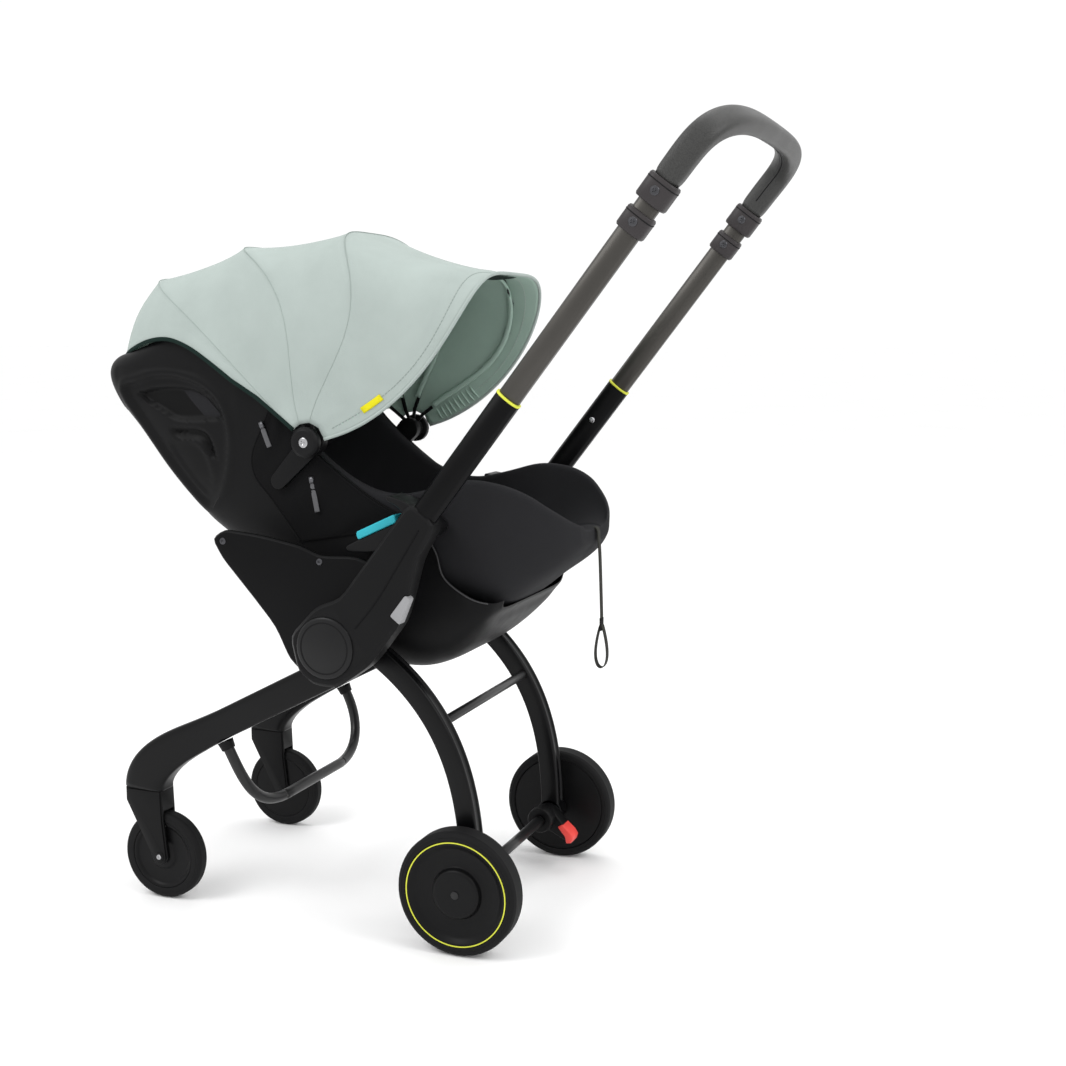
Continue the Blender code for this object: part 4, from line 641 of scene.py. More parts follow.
# Canopy
FABRIC_LIFT = 0.0040
FABRIC_FOOT = 0.024
FOOT_BLEND = 0.075
FABRIC_SAG = 0.0065
BAND_DIP = 0.003
RIM_RADIUS = 0.290
RIM_CROWN = 44.0
RIM_FOOT = 7.0
RIM_POWER = 4.3
CANOPY_COLUMNS = 96
REAR_ROWS = 10
PANEL_ROWS = 10
BAND_ROWS = 8
START_SHARE = 0.048
CANOPY_THICK = 0.0016
CLOTH_THICK = 0.0010
HEM_POINTS = (
    (0.150, -0.218, 0.68), (0.149, -0.25, 0.702), (0.145, -0.282, 0.72), (0.139, -0.316, 0.73),
    (0.129, -0.354, 0.727), (0.109, -0.397, 0.713), (0.074, -0.427, 0.70), (0.036, -0.434, 0.697),
    (0.0, -0.435, 0.696),
)
near_hem = smooth_path(HEM_POINTS, 6)
HEM = near_hem + mirrored(near_hem[:-1])
HEM_LINE = evenly(HEM, CANOPY_COLUMNS)


def bow_curve(angle_at, radius, power, half_width, count, low):
    """Even points along a bow from the left pivot over its crown to the right."""
    fine = []
    first = math.asin((low / radius) ** (power / 2))
    for index in range(241):
        u, v = rounded(first + (math.pi - 2 * first) * index / 240, power)
        angle = math.radians(angle_at(v))
        y = PIVOT[0] + radius * v * math.cos(angle)
        fine.append(Vector((u * half_width, y, PIVOT[1] + radius * v * math.sin(angle))))
    return evenly(fine, count)


def drooped(crown, droop):
    return lambda v: crown - droop * math.sin(math.pi * min(v, 1.0))


def spoke_of(point):
    return Vector((0, point.y - PIVOT[0], point.z - PIVOT[1]))


def fabric_edge(angle_at, radius, power):
    """The line of the fabric over one bow, outside the bow and outside the stack of ears."""
    size = (radius + FABRIC_LIFT, power, BOW_HALF_WIDTH + FABRIC_LIFT)
    path = bow_curve(angle_at, *size, CANOPY_COLUMNS, FABRIC_FOOT)
    for point in path:
        share = (FOOT_BLEND - spoke_of(point).length) / (FOOT_BLEND - FABRIC_FOOT)
        share = min(1.0, max(0.0, share))
        point.x = math.copysign(abs(point.x) * (1 - share) + EAR_OUTSIDE * share, point.x)
    return path


def seam_line(name):
    crown, radius, droop, power = BOWS[name]
    return fabric_edge(drooped(crown, droop), radius, power)


def drawn_in(start, end, t, depth, wave=0.0):
    """A place on the way from one line of the fabric to the next, drawn in towards the pivots."""
    point = start.lerp(end, t)
    spoke = spoke_of(point)
    sag = depth * min(1.0, spoke.length / 0.2) + wave * noise.noise(point * 9.0) * math.sin(math.pi * t)
    return point - spoke.normalized() * sag


def plane_normal(angle):
    """The direction square to a bow whose crown stands at an angle, in degrees."""
    return Vector((0, -math.sin(math.radians(angle)), math.cos(math.radians(angle))))


rim_edge = fabric_edge(lambda v: RIM_FOOT + (RIM_CROWN - RIM_FOOT) * v**0.9, RIM_RADIUS, RIM_POWER)
last_seam = seam_line("bow_d")


def canopy_rows():
    """Rows from the hem at the shell's head end to the free front edge, and each row's share of the turn."""
    rows, shares = [], []
    crest = seam_line("bow_a")
    for step in range(REAR_ROWS, 0, -1):
        t = step / REAR_ROWS
        shift = START_SHARE * min(1.0, 2.5 * t)
        row = []
        for index, hem in enumerate(HEM_LINE):
            share = index / CANOPY_COLUMNS
            bulge = 0.012 * math.sin(math.pi * t) * math.sin(math.pi * share)
            top = sample(crest, shift + (1 - 2 * shift) * share)
            row.append(top.lerp(hem, t) + Vector((0, -0.75, 0.66)) * bulge)
        rows.append(row)
        shares.append(0.0)
    order = list(BOWS)
    for behind, ahead in zip(order, order[1:]):
        ends = list(zip(seam_line(behind), seam_line(ahead)))
        for step in range(PANEL_ROWS):
            t = step / PANEL_ROWS
            depth = FABRIC_SAG * (4 * t * (1 - t)) ** 0.8
            rows.append([drawn_in(start, end, t, depth, 0.0016) for start, end in ends])
            turn = min(1.0, max(0.0, (t - 0.09) / 0.82))
            shares.append(BOW_TURN_SHARE[behind] * (1 - turn) + BOW_TURN_SHARE[ahead] * turn)
    for step in range(BAND_ROWS + 1):
        t = step / BAND_ROWS
        dip = BAND_DIP * math.sin(math.pi * t)
        rows.append([drawn_in(start, end, t, dip) for start, end in zip(last_seam, rim_edge)])
        shares.append(1.0)
    return rows, shares


canopy_points, canopy_shares = canopy_rows()
canopy = grid("canopy", canopy_points, [looks["canopy"], looks["canopy_inside"]], canopy_shares)
if canopy.data.polygons[len(canopy.data.polygons) // 2].normal.z < 0:
    canopy.data.flip_normals()
applied(canopy, "SOLIDIFY", thickness=CANOPY_THICK, offset=-1.0, material_offset=1, material_offset_rim=0)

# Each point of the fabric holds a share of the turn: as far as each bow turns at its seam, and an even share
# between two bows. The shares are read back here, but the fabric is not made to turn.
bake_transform(canopy)
turn_shares = [0.0] * len(canopy.data.vertices)
canopy.data.attributes["share"].data.foreach_get("value", turn_shares)
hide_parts("canopy_ab", "canopy_bc", "canopy_cd", "canopy_rear")

for name in ("bow_a", "bow_b", "bow_c"):
    line = evenly([point + spoke_of(point).normalized() * 0.0004 for point in seam_line(name)], 120)
    shape = (0.0004, 0.0004, looks["canopy_seam"], 8, 2.0, plane_normal(BOWS[name][0]))
    ride(swept(f"canopy_seam_{name[-1]}", line, *shape), BOW_BODY[name], "canopy_fabric")

rim_shape = (0.0022, 0.0022, looks["canopy"], 12, 2.0, plane_normal(RIM_CROWN))
ride(swept("canopy_rim_roll", evenly(rim_edge, 140), *rim_shape), "canopy_d", "canopy_fabric")

HEM_WIDTH = 0.026


def band_point(column, share, inward):
    """A place on the front band: 0 at the free edge, 1 at the last bow, set in from the outside."""
    start, end = rim_edge[column], last_seam[column]
    inside = heading(rim_edge, column).cross(end - start).normalized()
    if inside.dot(Vector((0, PIVOT[0] + 0.05, PIVOT[1] + 0.05)) - start) < 0:
        inside = -inside
    return drawn_in(start, end, share, BAND_DIP * math.sin(math.pi * share)) + inside * inward


def band_width(column):
    return (last_seam[column] - rim_edge[column]).length


def hem_share(column):
    return min(HEM_WIDTH / band_width(column), 0.45)


inner_columns = range(2, CANOPY_COLUMNS - 1)
for name, look, inward in (("", "canopy_seam", -0.0003), ("_inside", "stitch_white", 0.0022)):
    line = [band_point(c, hem_share(c), inward) for c in inner_columns]
    stitches(f"canopy_rim_stitches{name}", line, looks[look], "canopy_d", "canopy_fabric")

# A painted shadow under the crown, on the inside: a dark sheet for the shade in the gap of the folded visor
LEAF_FROM, LEAF_TO = 0.062, -0.034
leaf_rows = []
for c in range(CANOPY_COLUMNS + 1):
    share = (LEAF_FROM - rim_edge[c].x) / (LEAF_FROM - LEAF_TO)
    if 0 < share < 1:
        wide = 0.62 * math.sin(math.pi * share**1.6) ** 0.7
        leaf_row = []
        for t in range(7):
            leaf_row.append(band_point(c, 0.16 + wide * t / 6, 0.0028 + 0.012 * wide * t / 6))
        leaf_rows.append(leaf_row)
ride(grid("canopy_visor_gap_shadow", leaf_rows, looks["crescent"]), "canopy_d", "canopy_fabric")

# Gathers where the elastic draws the cloth together beside the pivots
for side, first in (("left", 3), ("right", CANOPY_COLUMNS - 11)):
    for index in range(9):
        line = [band_point(first + index, share, 0.0018) for share in (0.10, 0.25, 0.42, 0.60, 0.78)]
        shape = (swell(0.0004, 0.0016), swell(0.0003, 0.0013), looks["canopy_inside"], 10)
        ride(swept(f"canopy_gather_{side}_{index}", line, *shape), "canopy_d", "canopy_fabric")

# A bare sewn tag on the stitched line
TAG_REACH = (-0.042, -0.006)
TAG_HALF = 0.0042
tag_rows = []
for c in inner_columns:
    if rim_edge[c].x > 0.10 and TAG_REACH[0] < band_point(c, hem_share(c), 0).y < TAG_REACH[1]:
        shares = [hem_share(c) + TAG_HALF * (t - 2) / 2 / band_width(c) for t in range(5)]
        tag_rows.append([band_point(c, share, -0.0006) for share in shares])
tag = applied(grid("canopy_tag", tag_rows, looks["tag"]), "SOLIDIFY", thickness=CLOTH_THICK, offset=0.0)
ride(tag, "canopy_d", "canopy_fabric")

# The fabric's sleeves under the bows, and the binding of its hem
SLEEVE_IN = 0.0022
for name, body in BOW_BODY.items():
    crown, radius, droop, power = BOWS[name]
    size = (radius - SLEEVE_IN, power, BOW_HALF_WIDTH - SLEEVE_IN)
    path = bow_curve(drooped(crown, droop), *size, 120, 0.045)
    half = 0.0026 if name == "bow_a" else 0.0036
    shape = (half, 0.0023, looks["canopy_inside"], 16, 2.4, plane_normal(crown))
    ride(swept(f"canopy_sleeve_{name[-1]}", path, *shape), body, "canopy_fabric")

near_foot = [canopy_points[row][0] for row in range(REAR_ROWS, 0, -1)]
far_foot = [canopy_points[row][-1] for row in range(1, REAR_ROWS + 1)]
binding_path = evenly(near_foot + HEM + far_foot, 150)
binding_shape = (0.0026, 0.0014, looks["binding"], 12, 2.6, (0, -0.1, 1))
ride(swept("canopy_binding", binding_path, *binding_shape), "seat", "canopy_fabric")


# Wheels
REAR_AXLE = (0.100, 0.0767)
REAR_WHEEL_RADIUS = 0.0767
REAR_WHEEL_MIDDLE = 0.180
REAR_WHEEL_HALF = 0.0160
FRONT_AXLE = (-0.334, 0.058)
FRONT_WHEEL_RADIUS = 0.058
FRONT_WHEEL_MIDDLE = 0.1535
FRONT_WHEEL_HALF = 0.0102


def tyre_profile(half, radius, seat, shoulder, groove):
    """A closed section of a tyre with a raised tread and a line moulded in each side."""
    outer = [
        (half - 0.0006, seat),
        (half, seat + 0.0015),
        (half, radius - shoulder - 0.0016),
        (half - groove, radius - shoulder - 0.0008),
        (half, radius - shoulder),
        (half - shoulder * 0.35, radius - shoulder * 0.32),
        (half - shoulder, radius),
        (half - shoulder - 0.0006, radius),
    ]
    section = eased(outer + [(-x, r) for x, r in reversed(outer)], 0.0012, 3)
    return section + section[:1]


REAR_DISC = [
    (-0.0150, 0.0), (-0.0150, 0.0654), (0.0145, 0.0654), (0.0152, 0.0620), (0.0136, 0.0596), (0.0096, 0.0545),
    (0.0074, 0.0440), (0.0074, 0.0318), (0.0142, 0.0300), (0.0160, 0.0270), (0.0162, 0.0120), (0.0158, 0.0),
]
FRONT_DISC = [
    (-0.0098, 0.0), (-0.0098, 0.0447), (0.0092, 0.0447), (0.0094, 0.0415), (0.0062, 0.0385),
    (0.0056, 0.0200), (0.0086, 0.0170), (0.0096, 0.0120), (0.0098, 0.0),
]
rear_tyre = tyre_profile(REAR_WHEEL_HALF, REAR_WHEEL_RADIUS, 0.0655, 0.0060, 0.0006)
front_tyre = tyre_profile(FRONT_WHEEL_HALF, FRONT_WHEEL_RADIUS, 0.0448, 0.0050, 0.0005)
WHEELS = (
    ("rear", REAR_WHEEL_MIDDLE, REAR_AXLE, rear_tyre, eased(REAR_DISC, 0.0026)),
    ("front", FRONT_WHEEL_MIDDLE, FRONT_AXLE, front_tyre, eased(FRONT_DISC, 0.0014)),
)
for side, facing in SIDES:
    for kind, middle, axle, tyre, disc in WHEELS:
        centre = (facing * middle, *axle)
        body = f"{kind}_wheel_{side}"
        rubber_ring = turned(f"{kind}_tyre_{side}_smooth", tyre, centre, looks["tyre"], 96, facing)
        ride(rubber_ring, body, "tyre_rubber", f"{kind}_tyre_{side}")
        face = turned(f"{kind}_disc_{side}", disc, centre, looks["wheel"], 96, facing)
        ride(face, body, "wheel_plastic", body)
    ring_place = ((facing * REAR_WHEEL_MIDDLE, *REAR_AXLE), looks["yellow"], 96, facing)
    ring = hoop(f"rear_wheel_ring_{side}", *WHEEL_RING, *ring_place)
    ride(ring, f"rear_wheel_{side}", "wheel_plastic")


# Legs and bars
LEG_EYE_RADIUS = 0.035
REAR_LEG_MIDDLE = 0.1418
REAR_LEG_HALF = (0.0115, 0.0130)
REAR_LEG_GROOVE = (0.0060, 0.0022)
FRONT_LEG_MIDDLE = 0.1638
FRONT_LEG_SLOPE = math.radians(27.3)
FRONT_LEG_DROP = 0.0275
FRONT_LEG_BEND_Y = -0.290
SWIVEL_Y = -0.357
COLUMN_FOOT_Z = 0.148
FRONT_BAR_Y = -0.245
FRONT_BAR_RADIUS = 0.0070
FRONT_BAR_CORNER = Vector((0.120, -0.201, 0.135))
LEG_DOWN = Vector((0, math.sin(FRONT_LEG_SLOPE), -math.cos(FRONT_LEG_SLOPE)))
LEG_START = Vector(HUB) + LEG_DOWN.yz * FRONT_LEG_DROP


def front_leg_section(y):
    """Where the front leg's middle is across, and its two halves, where its line passes y."""
    share = (y - LEG_START.x) / (SWIVEL_Y - LEG_START.x)
    drift = max(0.0, (share - 0.20) / 0.80)
    grow = max(0.0, (share - 0.60) / 0.40) ** 1.5
    x = FRONT_LEG_MIDDLE + (FRONT_WHEEL_MIDDLE - FRONT_LEG_MIDDLE) * drift
    return x, 0.010 + 0.008 * grow, 0.019 + 0.010 * grow


def front_leg(name, facing):
    """The sloped leg, which turns down into the caster column."""
    back = Vector((-math.cos(FRONT_LEG_SLOPE), -math.sin(FRONT_LEG_SLOPE)))
    bend = LEG_START + back * ((FRONT_LEG_BEND_Y - LEG_START.x) / back.x)
    foot = Vector((SWIVEL_Y, COLUMN_FOOT_Z))
    knee = [bend, bend + back * 0.030, foot + Vector((0, 0.030)), foot]
    places = [LEG_START.lerp(bend, index / 14) for index in range(14)] + bezier(knee, 22)
    line = [Vector((0, *place)) for place in places]
    rings = []
    for index, point in enumerate(line):
        x, wide, deep = front_leg_section(point.y)
        out = heading(line, index).cross(X_AXIS)
        rings.append(oval(point + X_AXIS * facing * x, X_AXIS, out, wide, deep, 36, 5.0))
    return loft(name, rings, looks["leg"])


def rear_leg(name, facing):
    """The curved leg, with rounded corners and a channel down its rear face."""
    half_x, half_out = REAR_LEG_HALF
    groove_half, groove_depth = REAR_LEG_GROOVE
    corner = 0.0030
    outline = [
        (groove_half * 0.8, half_out - groove_depth),
        (groove_half, half_out),
        (half_x - corner, half_out),
        (half_x - corner * 0.3, half_out - corner * 0.3),
        (half_x, half_out - corner),
        (half_x, corner - half_out),
        (half_x - corner * 0.3, corner * 0.3 - half_out),
        (half_x - corner, -half_out),
        (0.0, -half_out),
    ]
    outline += [(-x, out) for x, out in reversed(outline[:-1])]
    places = bezier([Vector(p) for p in (HUB, (0.070, 0.300), (0.100, 0.200), REAR_AXLE)], 40)
    path = [Vector((facing * REAR_LEG_MIDDLE, *place)) for place in places]
    rings = []
    for index, point in enumerate(path):
        out = heading(path, index).cross(X_AXIS)
        if out.y < 0:
            out = -out
        rings.append([point + X_AXIS * x + out * deep for x, deep in outline])
    return soft_edges(loft(name, rings, looks["leg"]), 0.0008, 3, 28.0)


def leg_ring(name, body, half, inner, outer, ease, middle, place, sides, facing):
    centre = (facing * middle, *place)
    ride(hoop(name, -half, half, inner, outer, ease, centre, looks["leg"], sides, facing), body, "leg_metal")


for side, facing in SIDES:
    eye = (0.0125, LEG_EYE_RADIUS, 0.0012)
    ride(front_leg(f"front_leg_{side}_smooth", facing), "front_legs", "leg_metal", f"front_leg_{side}")
    leg_ring(f"front_leg_eye_{side}", "front_legs", 0.0100, *eye, FRONT_LEG_MIDDLE, HUB, 72, facing)
    ride(rear_leg(f"rear_leg_{side}_smooth", facing), "rear_legs", "leg_metal", f"rear_leg_{side}")
    leg_ring(f"rear_leg_eye_{side}", "rear_legs", 0.0114, *eye, REAR_LEG_MIDDLE, HUB, 72, facing)
    foot = (0.0055, 0.0175, 0.0015)
    leg_ring(f"rear_leg_foot_{side}", "rear_legs", 0.0115, *foot, REAR_LEG_MIDDLE, REAR_AXLE, 48, facing)


def front_bar_path():
    """The bar's line from one front leg down, across and up to the other."""
    x, _, depth = front_leg_section(FRONT_BAR_Y)
    height = LEG_START.y + (FRONT_BAR_Y - LEG_START.x) * math.tan(FRONT_LEG_SLOPE)
    seat = Vector((x, FRONT_BAR_Y, height)) + LEG_DOWN * (depth + 0.0006)
    foot = Vector((0.062, FRONT_BAR_CORNER.y + 0.004, FRONT_BAR_CORNER.z - 0.004))
    top = seat + LEG_DOWN * 0.012
    ease = FRONT_BAR_CORNER + LEG_DOWN * 0.016 + Vector((0.016, -0.010, 0.004))
    near = [seat] + bezier([top, top + LEG_DOWN * 0.052, ease, foot], 14)
    return smooth_path(near + mirrored(near), 3)


def boot_half(share):
    """The half of the boot at each end of the bar, which narrows downwards."""
    return 0.0105 - 0.002 * share


bar_path = front_bar_path()
bar_across = (0, math.cos(FRONT_LEG_SLOPE), math.sin(FRONT_LEG_SLOPE))
bar_shape = (FRONT_BAR_RADIUS, FRONT_BAR_RADIUS, looks["bar"], 24, 2.0, bar_across)
ride(swept("front_bar_smooth", bar_path, *bar_shape), "front_legs", "bar_metal", "front_bar")
for side, facing in SIDES:
    path = [bar_path[0 if facing > 0 else -1] + LEG_DOWN * d for d in (0.0002, 0.004, 0.010, 0.012)]
    boot = swept(f"front_bar_boot_{side}", path, boot_half, boot_half, looks["fork"], 24)
    ride(boot, "front_legs", "bar_metal")


# Handle
LOWER_TUBE_HALF = (0.0110, 0.0158)
UPPER_TUBE_HALF = (0.0091, 0.0139)
TUBE_RING = (0.3742, 0.3768)
TUBE_RING_HALF = (0.0114, 0.0162)
COLLARS = (("grip_lower_collar", 0.6000, 0.6255, 0.0034), ("grip_upper_collar", 0.6370, 0.6665, 0.0050))
GRIP_START = 0.6668
GRIP_SHOULDER = 0.6960
GRIP_REACH = 0.7630
GRIP_SWEEP = 0.0080
GRIP_POWER = 3.1
GRIP_HALF = (0.0122, 0.0150)
GRIP_SWELL = 0.0012
HANDLE_SIDE = Vector((0, math.cos(HANDLE_TILT), -math.sin(HANDLE_TILT)))
HANDLE_UP = Vector((0, math.sin(HANDLE_TILT), math.cos(HANDLE_TILT)))


def handle_bar(name, start, end, halves, look, facing, power=2.4, ease=0.0):
    """A straight piece of the handle's section between two places along it, narrower at eased ends."""
    stops = [start, start + ease, end - ease, end] if ease else [start, end]
    path = [handle_point(stop, 0, facing * HANDLE_X) for stop in stops]
    trim = 0.0012 if ease else 0.0
    wide, deep = [lambda share, half=half: half - (trim if share in (0.0, 1.0) else 0.0) for half in halves]
    return swept(name, path, wide, deep, look, 40, power)


def grip_route():
    """The grip's arch, as points of its middle line."""
    start, foot = GRIP_START, GRIP_START + 0.0040
    route = [(HANDLE_X, start), (HANDLE_X, foot)]
    for index in range(65):
        u, v = rounded(math.pi * index / 64, GRIP_POWER)
        route.append((u * HANDLE_X, GRIP_SHOULDER + (GRIP_REACH - GRIP_SHOULDER) * v))
    route += [(-HANDLE_X, foot), (-HANDLE_X, start)]
    reach = GRIP_REACH - start
    arch = [handle_point(along, GRIP_SWEEP * ((along - start) / reach) ** 3, x) for x, along in route]
    return evenly(arch, 110)


def grip_half(share):
    """The grip's half across its arch, which swells towards the crown."""
    point = grip_path[round(share * (len(grip_path) - 1))]
    along = (point - Vector((0, *HUB))).dot(HANDLE_UP)
    rise = max(0.0, min(1.0, (along - GRIP_START) / (GRIP_REACH - GRIP_START)))
    end = min(1.0, min(share, 1 - share) / 0.012)
    more = GRIP_SWELL * math.sin(math.pi * min(1.0, 0.15 + 0.55 * rise)) * end
    return GRIP_HALF[1] * (0.93 + 0.07 * end) + more


def grip_inside(aside_share):
    """A line along the inner side of the grip."""
    line = []
    for index, point in enumerate(grip_path):
        out = heading(grip_path, index).cross(HANDLE_SIDE).normalized()
        if out.dot(Vector((0, *handle_point(GRIP_START).yz)) - point) < 0:
            out = -out
        aside = grip_half(index / (len(grip_path) - 1)) * aside_share
        line.append(point + out * GRIP_HALF[0] + HANDLE_SIDE * aside)
    return line[3:-3]


grip_path = grip_route()
grip = swept("grip_cover", grip_path, grip_half, GRIP_HALF[0], looks["grip"], 48, 3.4, HANDLE_SIDE)
ride(grip, "handle_upper", "grip_cover", "grip")
seam = swept("grip_seam", grip_inside(0.0), 0.0007, 0.0007, looks["thread"], 8, 2.0, HANDLE_SIDE)
ride(seam, "handle_upper", "grip_cover")
for name, shift in (("upper", 0.22), ("lower", -0.22)):
    row = (grip_inside(shift), looks["grip_thread"], "handle_upper", "grip_cover", 0.0034, 0.0052)
    stitches(f"grip_stitches_{name}", *row)

ARM_GROOVE = ((0.046, 0.016), (0.09, 0.0175), (0.14, 0.0135), (0.192, 0.0085))
for side, facing in SIDES:
    ring = handle_bar(f"tube_ring_{side}", *TUBE_RING, TUBE_RING_HALF, looks["yellow"], facing)
    ride(ring, "handle", "button_plastic")
    for name, start, end, wall in COLLARS:
        body = body_of(f"{name}_{side}")
        outer = [half + wall for half in UPPER_TUBE_HALF]
        collar = handle_bar(f"{name}_{side}_smooth", start, end, outer, looks["collar"], facing, 3.2, 0.0022)
        ride(collar, body, "arm_plastic", f"{name}_{side}")
        place = handle_point((start + end) / 2, 0, facing * HANDLE_X) + X_AXIS * outer[0]
        head = screw(f"{name}_screw_{side}", place, X_AXIS, SCREW_RADIUS["collar"], looks["dark_steel"])
        ride(head, body, "arm_plastic")
        groove = (end - 0.0062, end - 0.0050, [half + 0.0003 for half in outer])
        band = handle_bar(f"{name}_band_{side}", *groove, looks["thread"], facing, 3.2)
        ride(band, body, "arm_plastic")
    tube_inside = facing * (HANDLE_X - LOWER_TUBE_HALF[0])
    place = handle_point(0.318, 0, tube_inside)
    screw_shape = (place, (-facing, 0, 0), SCREW_RADIUS["tube"], looks["steel"])
    inner_screw = screw(f"tube_inner_screw_{side}", *screw_shape)
    ride(inner_screw, "handle", "lower_tube_metal")
    place = (facing * (EAR_OUTSIDE + 0.0100), *PIVOT)
    screw_shape = (place, (facing, 0, 0), SCREW_RADIUS["knob"], looks["steel"])
    knob_screw = screw(f"knob_screw_{side}", *screw_shape)
    ride(knob_screw, "seat", "shell_plastic")
    cap_place = ((0, *HUB), looks["arm"], 72, facing)
    cap_ring = hoop(f"hub_cap_ring_{side}", *CAP_RING, *cap_place)
    ride(cap_ring, body_of(f"hub_cap_{side}"), "arm_plastic")
    path = smooth_path([handle_point(a, b, facing * ARM_OUT) for a, b in ARM_GROOVE], 6)
    groove = swept(f"arm_groove_{side}", path, 0.0005, 0.0011, looks["piping"], 10, 3.0)
    ride(groove, "handle", "arm_plastic")


# Shell: each station is the rim's y and z, the bottom's y and z, and the half width
SHELL_STATIONS = (
    (-0.386, 0.712, -0.41, 0.712, 0.078), (-0.362, 0.722, -0.431, 0.701, 0.106),
    (-0.33, 0.731, -0.4345, 0.679, 0.124), (-0.29, 0.733, -0.42, 0.646, 0.129),
    (-0.246, 0.718, -0.39, 0.61, 0.13), (-0.204, 0.682, -0.345, 0.554, 0.13),
    (-0.163, 0.643, -0.288, 0.499, 0.13), (-0.135, 0.614, -0.232, 0.455, 0.13),
    (-0.10, 0.584, -0.18, 0.412, 0.13), (-0.068, 0.56, -0.14, 0.372, 0.13),
    (-0.038, 0.54, -0.096, 0.34, 0.13), (-0.004, 0.522, -0.046, 0.325, 0.13),
    (0.03, 0.503, 0.01, 0.322, 0.13), (0.049, 0.477, 0.05, 0.334, 0.13),
    (0.06, 0.446, 0.08, 0.355, 0.13), (0.092, 0.424, 0.104, 0.379, 0.13),
    (0.118, 0.417, 0.114, 0.394, 0.124), (0.128, 0.418, 0.124, 0.404, 0.108),
)
SHELL_POWER = 6.0
SHELL_WALL = 0.0030
SHELL_ROWS = 210
SHELL_COLUMNS = 190
SPINE_HALF = 0.050
RECESS = smoothed([
    (-0.396, 0.664), (-0.370, 0.677), (-0.340, 0.684), (-0.306, 0.682), (-0.272, 0.670), (-0.249, 0.648),
    (-0.238, 0.610), (-0.242, 0.565), (-0.258, 0.530), (-0.281, 0.519), (-0.318, 0.556), (-0.354, 0.603),
])
RECESS_DEPTH = 0.0036
# The hollows in the recess, each with its depth
POCKETS = (
    (smoothed([
        (-0.374, 0.658), (-0.343, 0.668), (-0.306, 0.669), (-0.279, 0.662), (-0.262, 0.649), (-0.250, 0.633),
        (-0.277, 0.629), (-0.315, 0.628), (-0.337, 0.638),
    ]), 0.0068),
    (smoothed([
        (-0.320, 0.616), (-0.274, 0.613), (-0.260, 0.580), (-0.269, 0.584), (-0.281, 0.603), (-0.318, 0.606),
    ]), 0.0058),
    (smoothed([
        (-0.326, 0.598), (-0.286, 0.596), (-0.268, 0.562), (-0.274, 0.534), (-0.291, 0.541), (-0.325, 0.584),
    ]), 0.0020),
)
BAND_RISE = 0.0012
BEAD_RISE = 0.0022
BEAD_HALF = 0.0050


def inside_by(place, outline):
    """How far a place in the side view lies inside an outline, negative outside it."""
    y, z = place
    for value, line in zip(place, zip(*outline)):
        if not min(line) - 0.01 < value < max(line) + 0.01:
            return -0.01
    nearest = 1.0
    inside = False
    for (y0, z0), (y1, z1) in zip(outline, outline[1:] + outline[:1]):
        dy, dz = y1 - y0, z1 - z0
        t = max(0.0, min(1.0, ((y - y0) * dy + (z - z0) * dz) / (dy * dy + dz * dz)))
        nearest = min(nearest, math.hypot(y - y0 - dy * t, z - z0 - dz * t))
        if (z0 > z) != (z1 > z) and y < (y1 - y0) * (z - z0) / (z1 - z0) + y0:
            inside = not inside
    return nearest if inside else -nearest


def shell_relief(point):
    """How far the shell's outside stands out of, or lies behind, its plain form at a point."""
    from_spine = abs(point.x) - SPINE_HALF
    reach = min(inside_by(point.yz, RECESS), from_spine)
    fade = step_up(-0.205 - point.y + (point.z - 0.60) * 0.35, 0.045)
    height = BAND_RISE + BEAD_RISE * math.exp(-(((reach + BEAD_HALF) / BEAD_HALF) ** 2))
    height -= (BAND_RISE + RECESS_DEPTH) * step_up(reach + 0.002, 0.006)
    for outline, depth in POCKETS:
        height -= depth * step_up(min(inside_by(point.yz, outline), from_spine - 0.008) + 0.0020, 0.0050)
    return height * fade


def u_row(rim, bottom, half_rim, half_bottom, power, count):
    """A U-shaped section from the right rim round the bottom to the left rim."""
    fine = []
    for index in range(181):
        u, v = rounded(math.pi * index / 180, power)
        half = half_rim + (half_bottom - half_rim) * v
        y, z = [start + (end - start) * v for start, end in zip(rim, bottom)]
        fine.append(Vector((-u * half, y, z)))
    return evenly(fine, count)


def toward(start, end, share):
    return [a + (b - a) * share for a, b in zip(start, end)]


def station_rows(stations, count):
    """The stations again as count equal steps, on smooth curves through them, with both ends as places."""
    table = [stations[0], *stations, stations[-1]]
    for index in range(count + 1):
        place = index / count * (len(stations) - 1)
        first = min(int(place), len(stations) - 2)
        ry, rz, by, bz, *sizes = [spline(*four, place - first) for four in zip(*table[first : first + 4])]
        yield (ry, rz), (by, bz), *sizes


def trough(name, rings, columns, lip, look):
    """A skin round trough-shaped rings, each an outside, a lip, an inside and a lip, with filled ends."""
    size = 2 * (columns + 1 + lip)
    faces = []
    for base in (0, (len(rings) - 1) * size):
        outer = range(base, base + columns + 1)
        inner = range(base + 2 * columns + 1 + lip, base + columns + lip, -1)
        faces += [(a, c, d, b) for a, b, c, d in zip(outer, inner, outer[1:], inner[1:])]
        if lip:
            faces.append([inner[0], *range(inner[0] + 1, base + size), base])
            faces.append(range(base + columns, base + columns + lip + 2))
    return closed(grid(name, rings, look, wrap=True), faces)


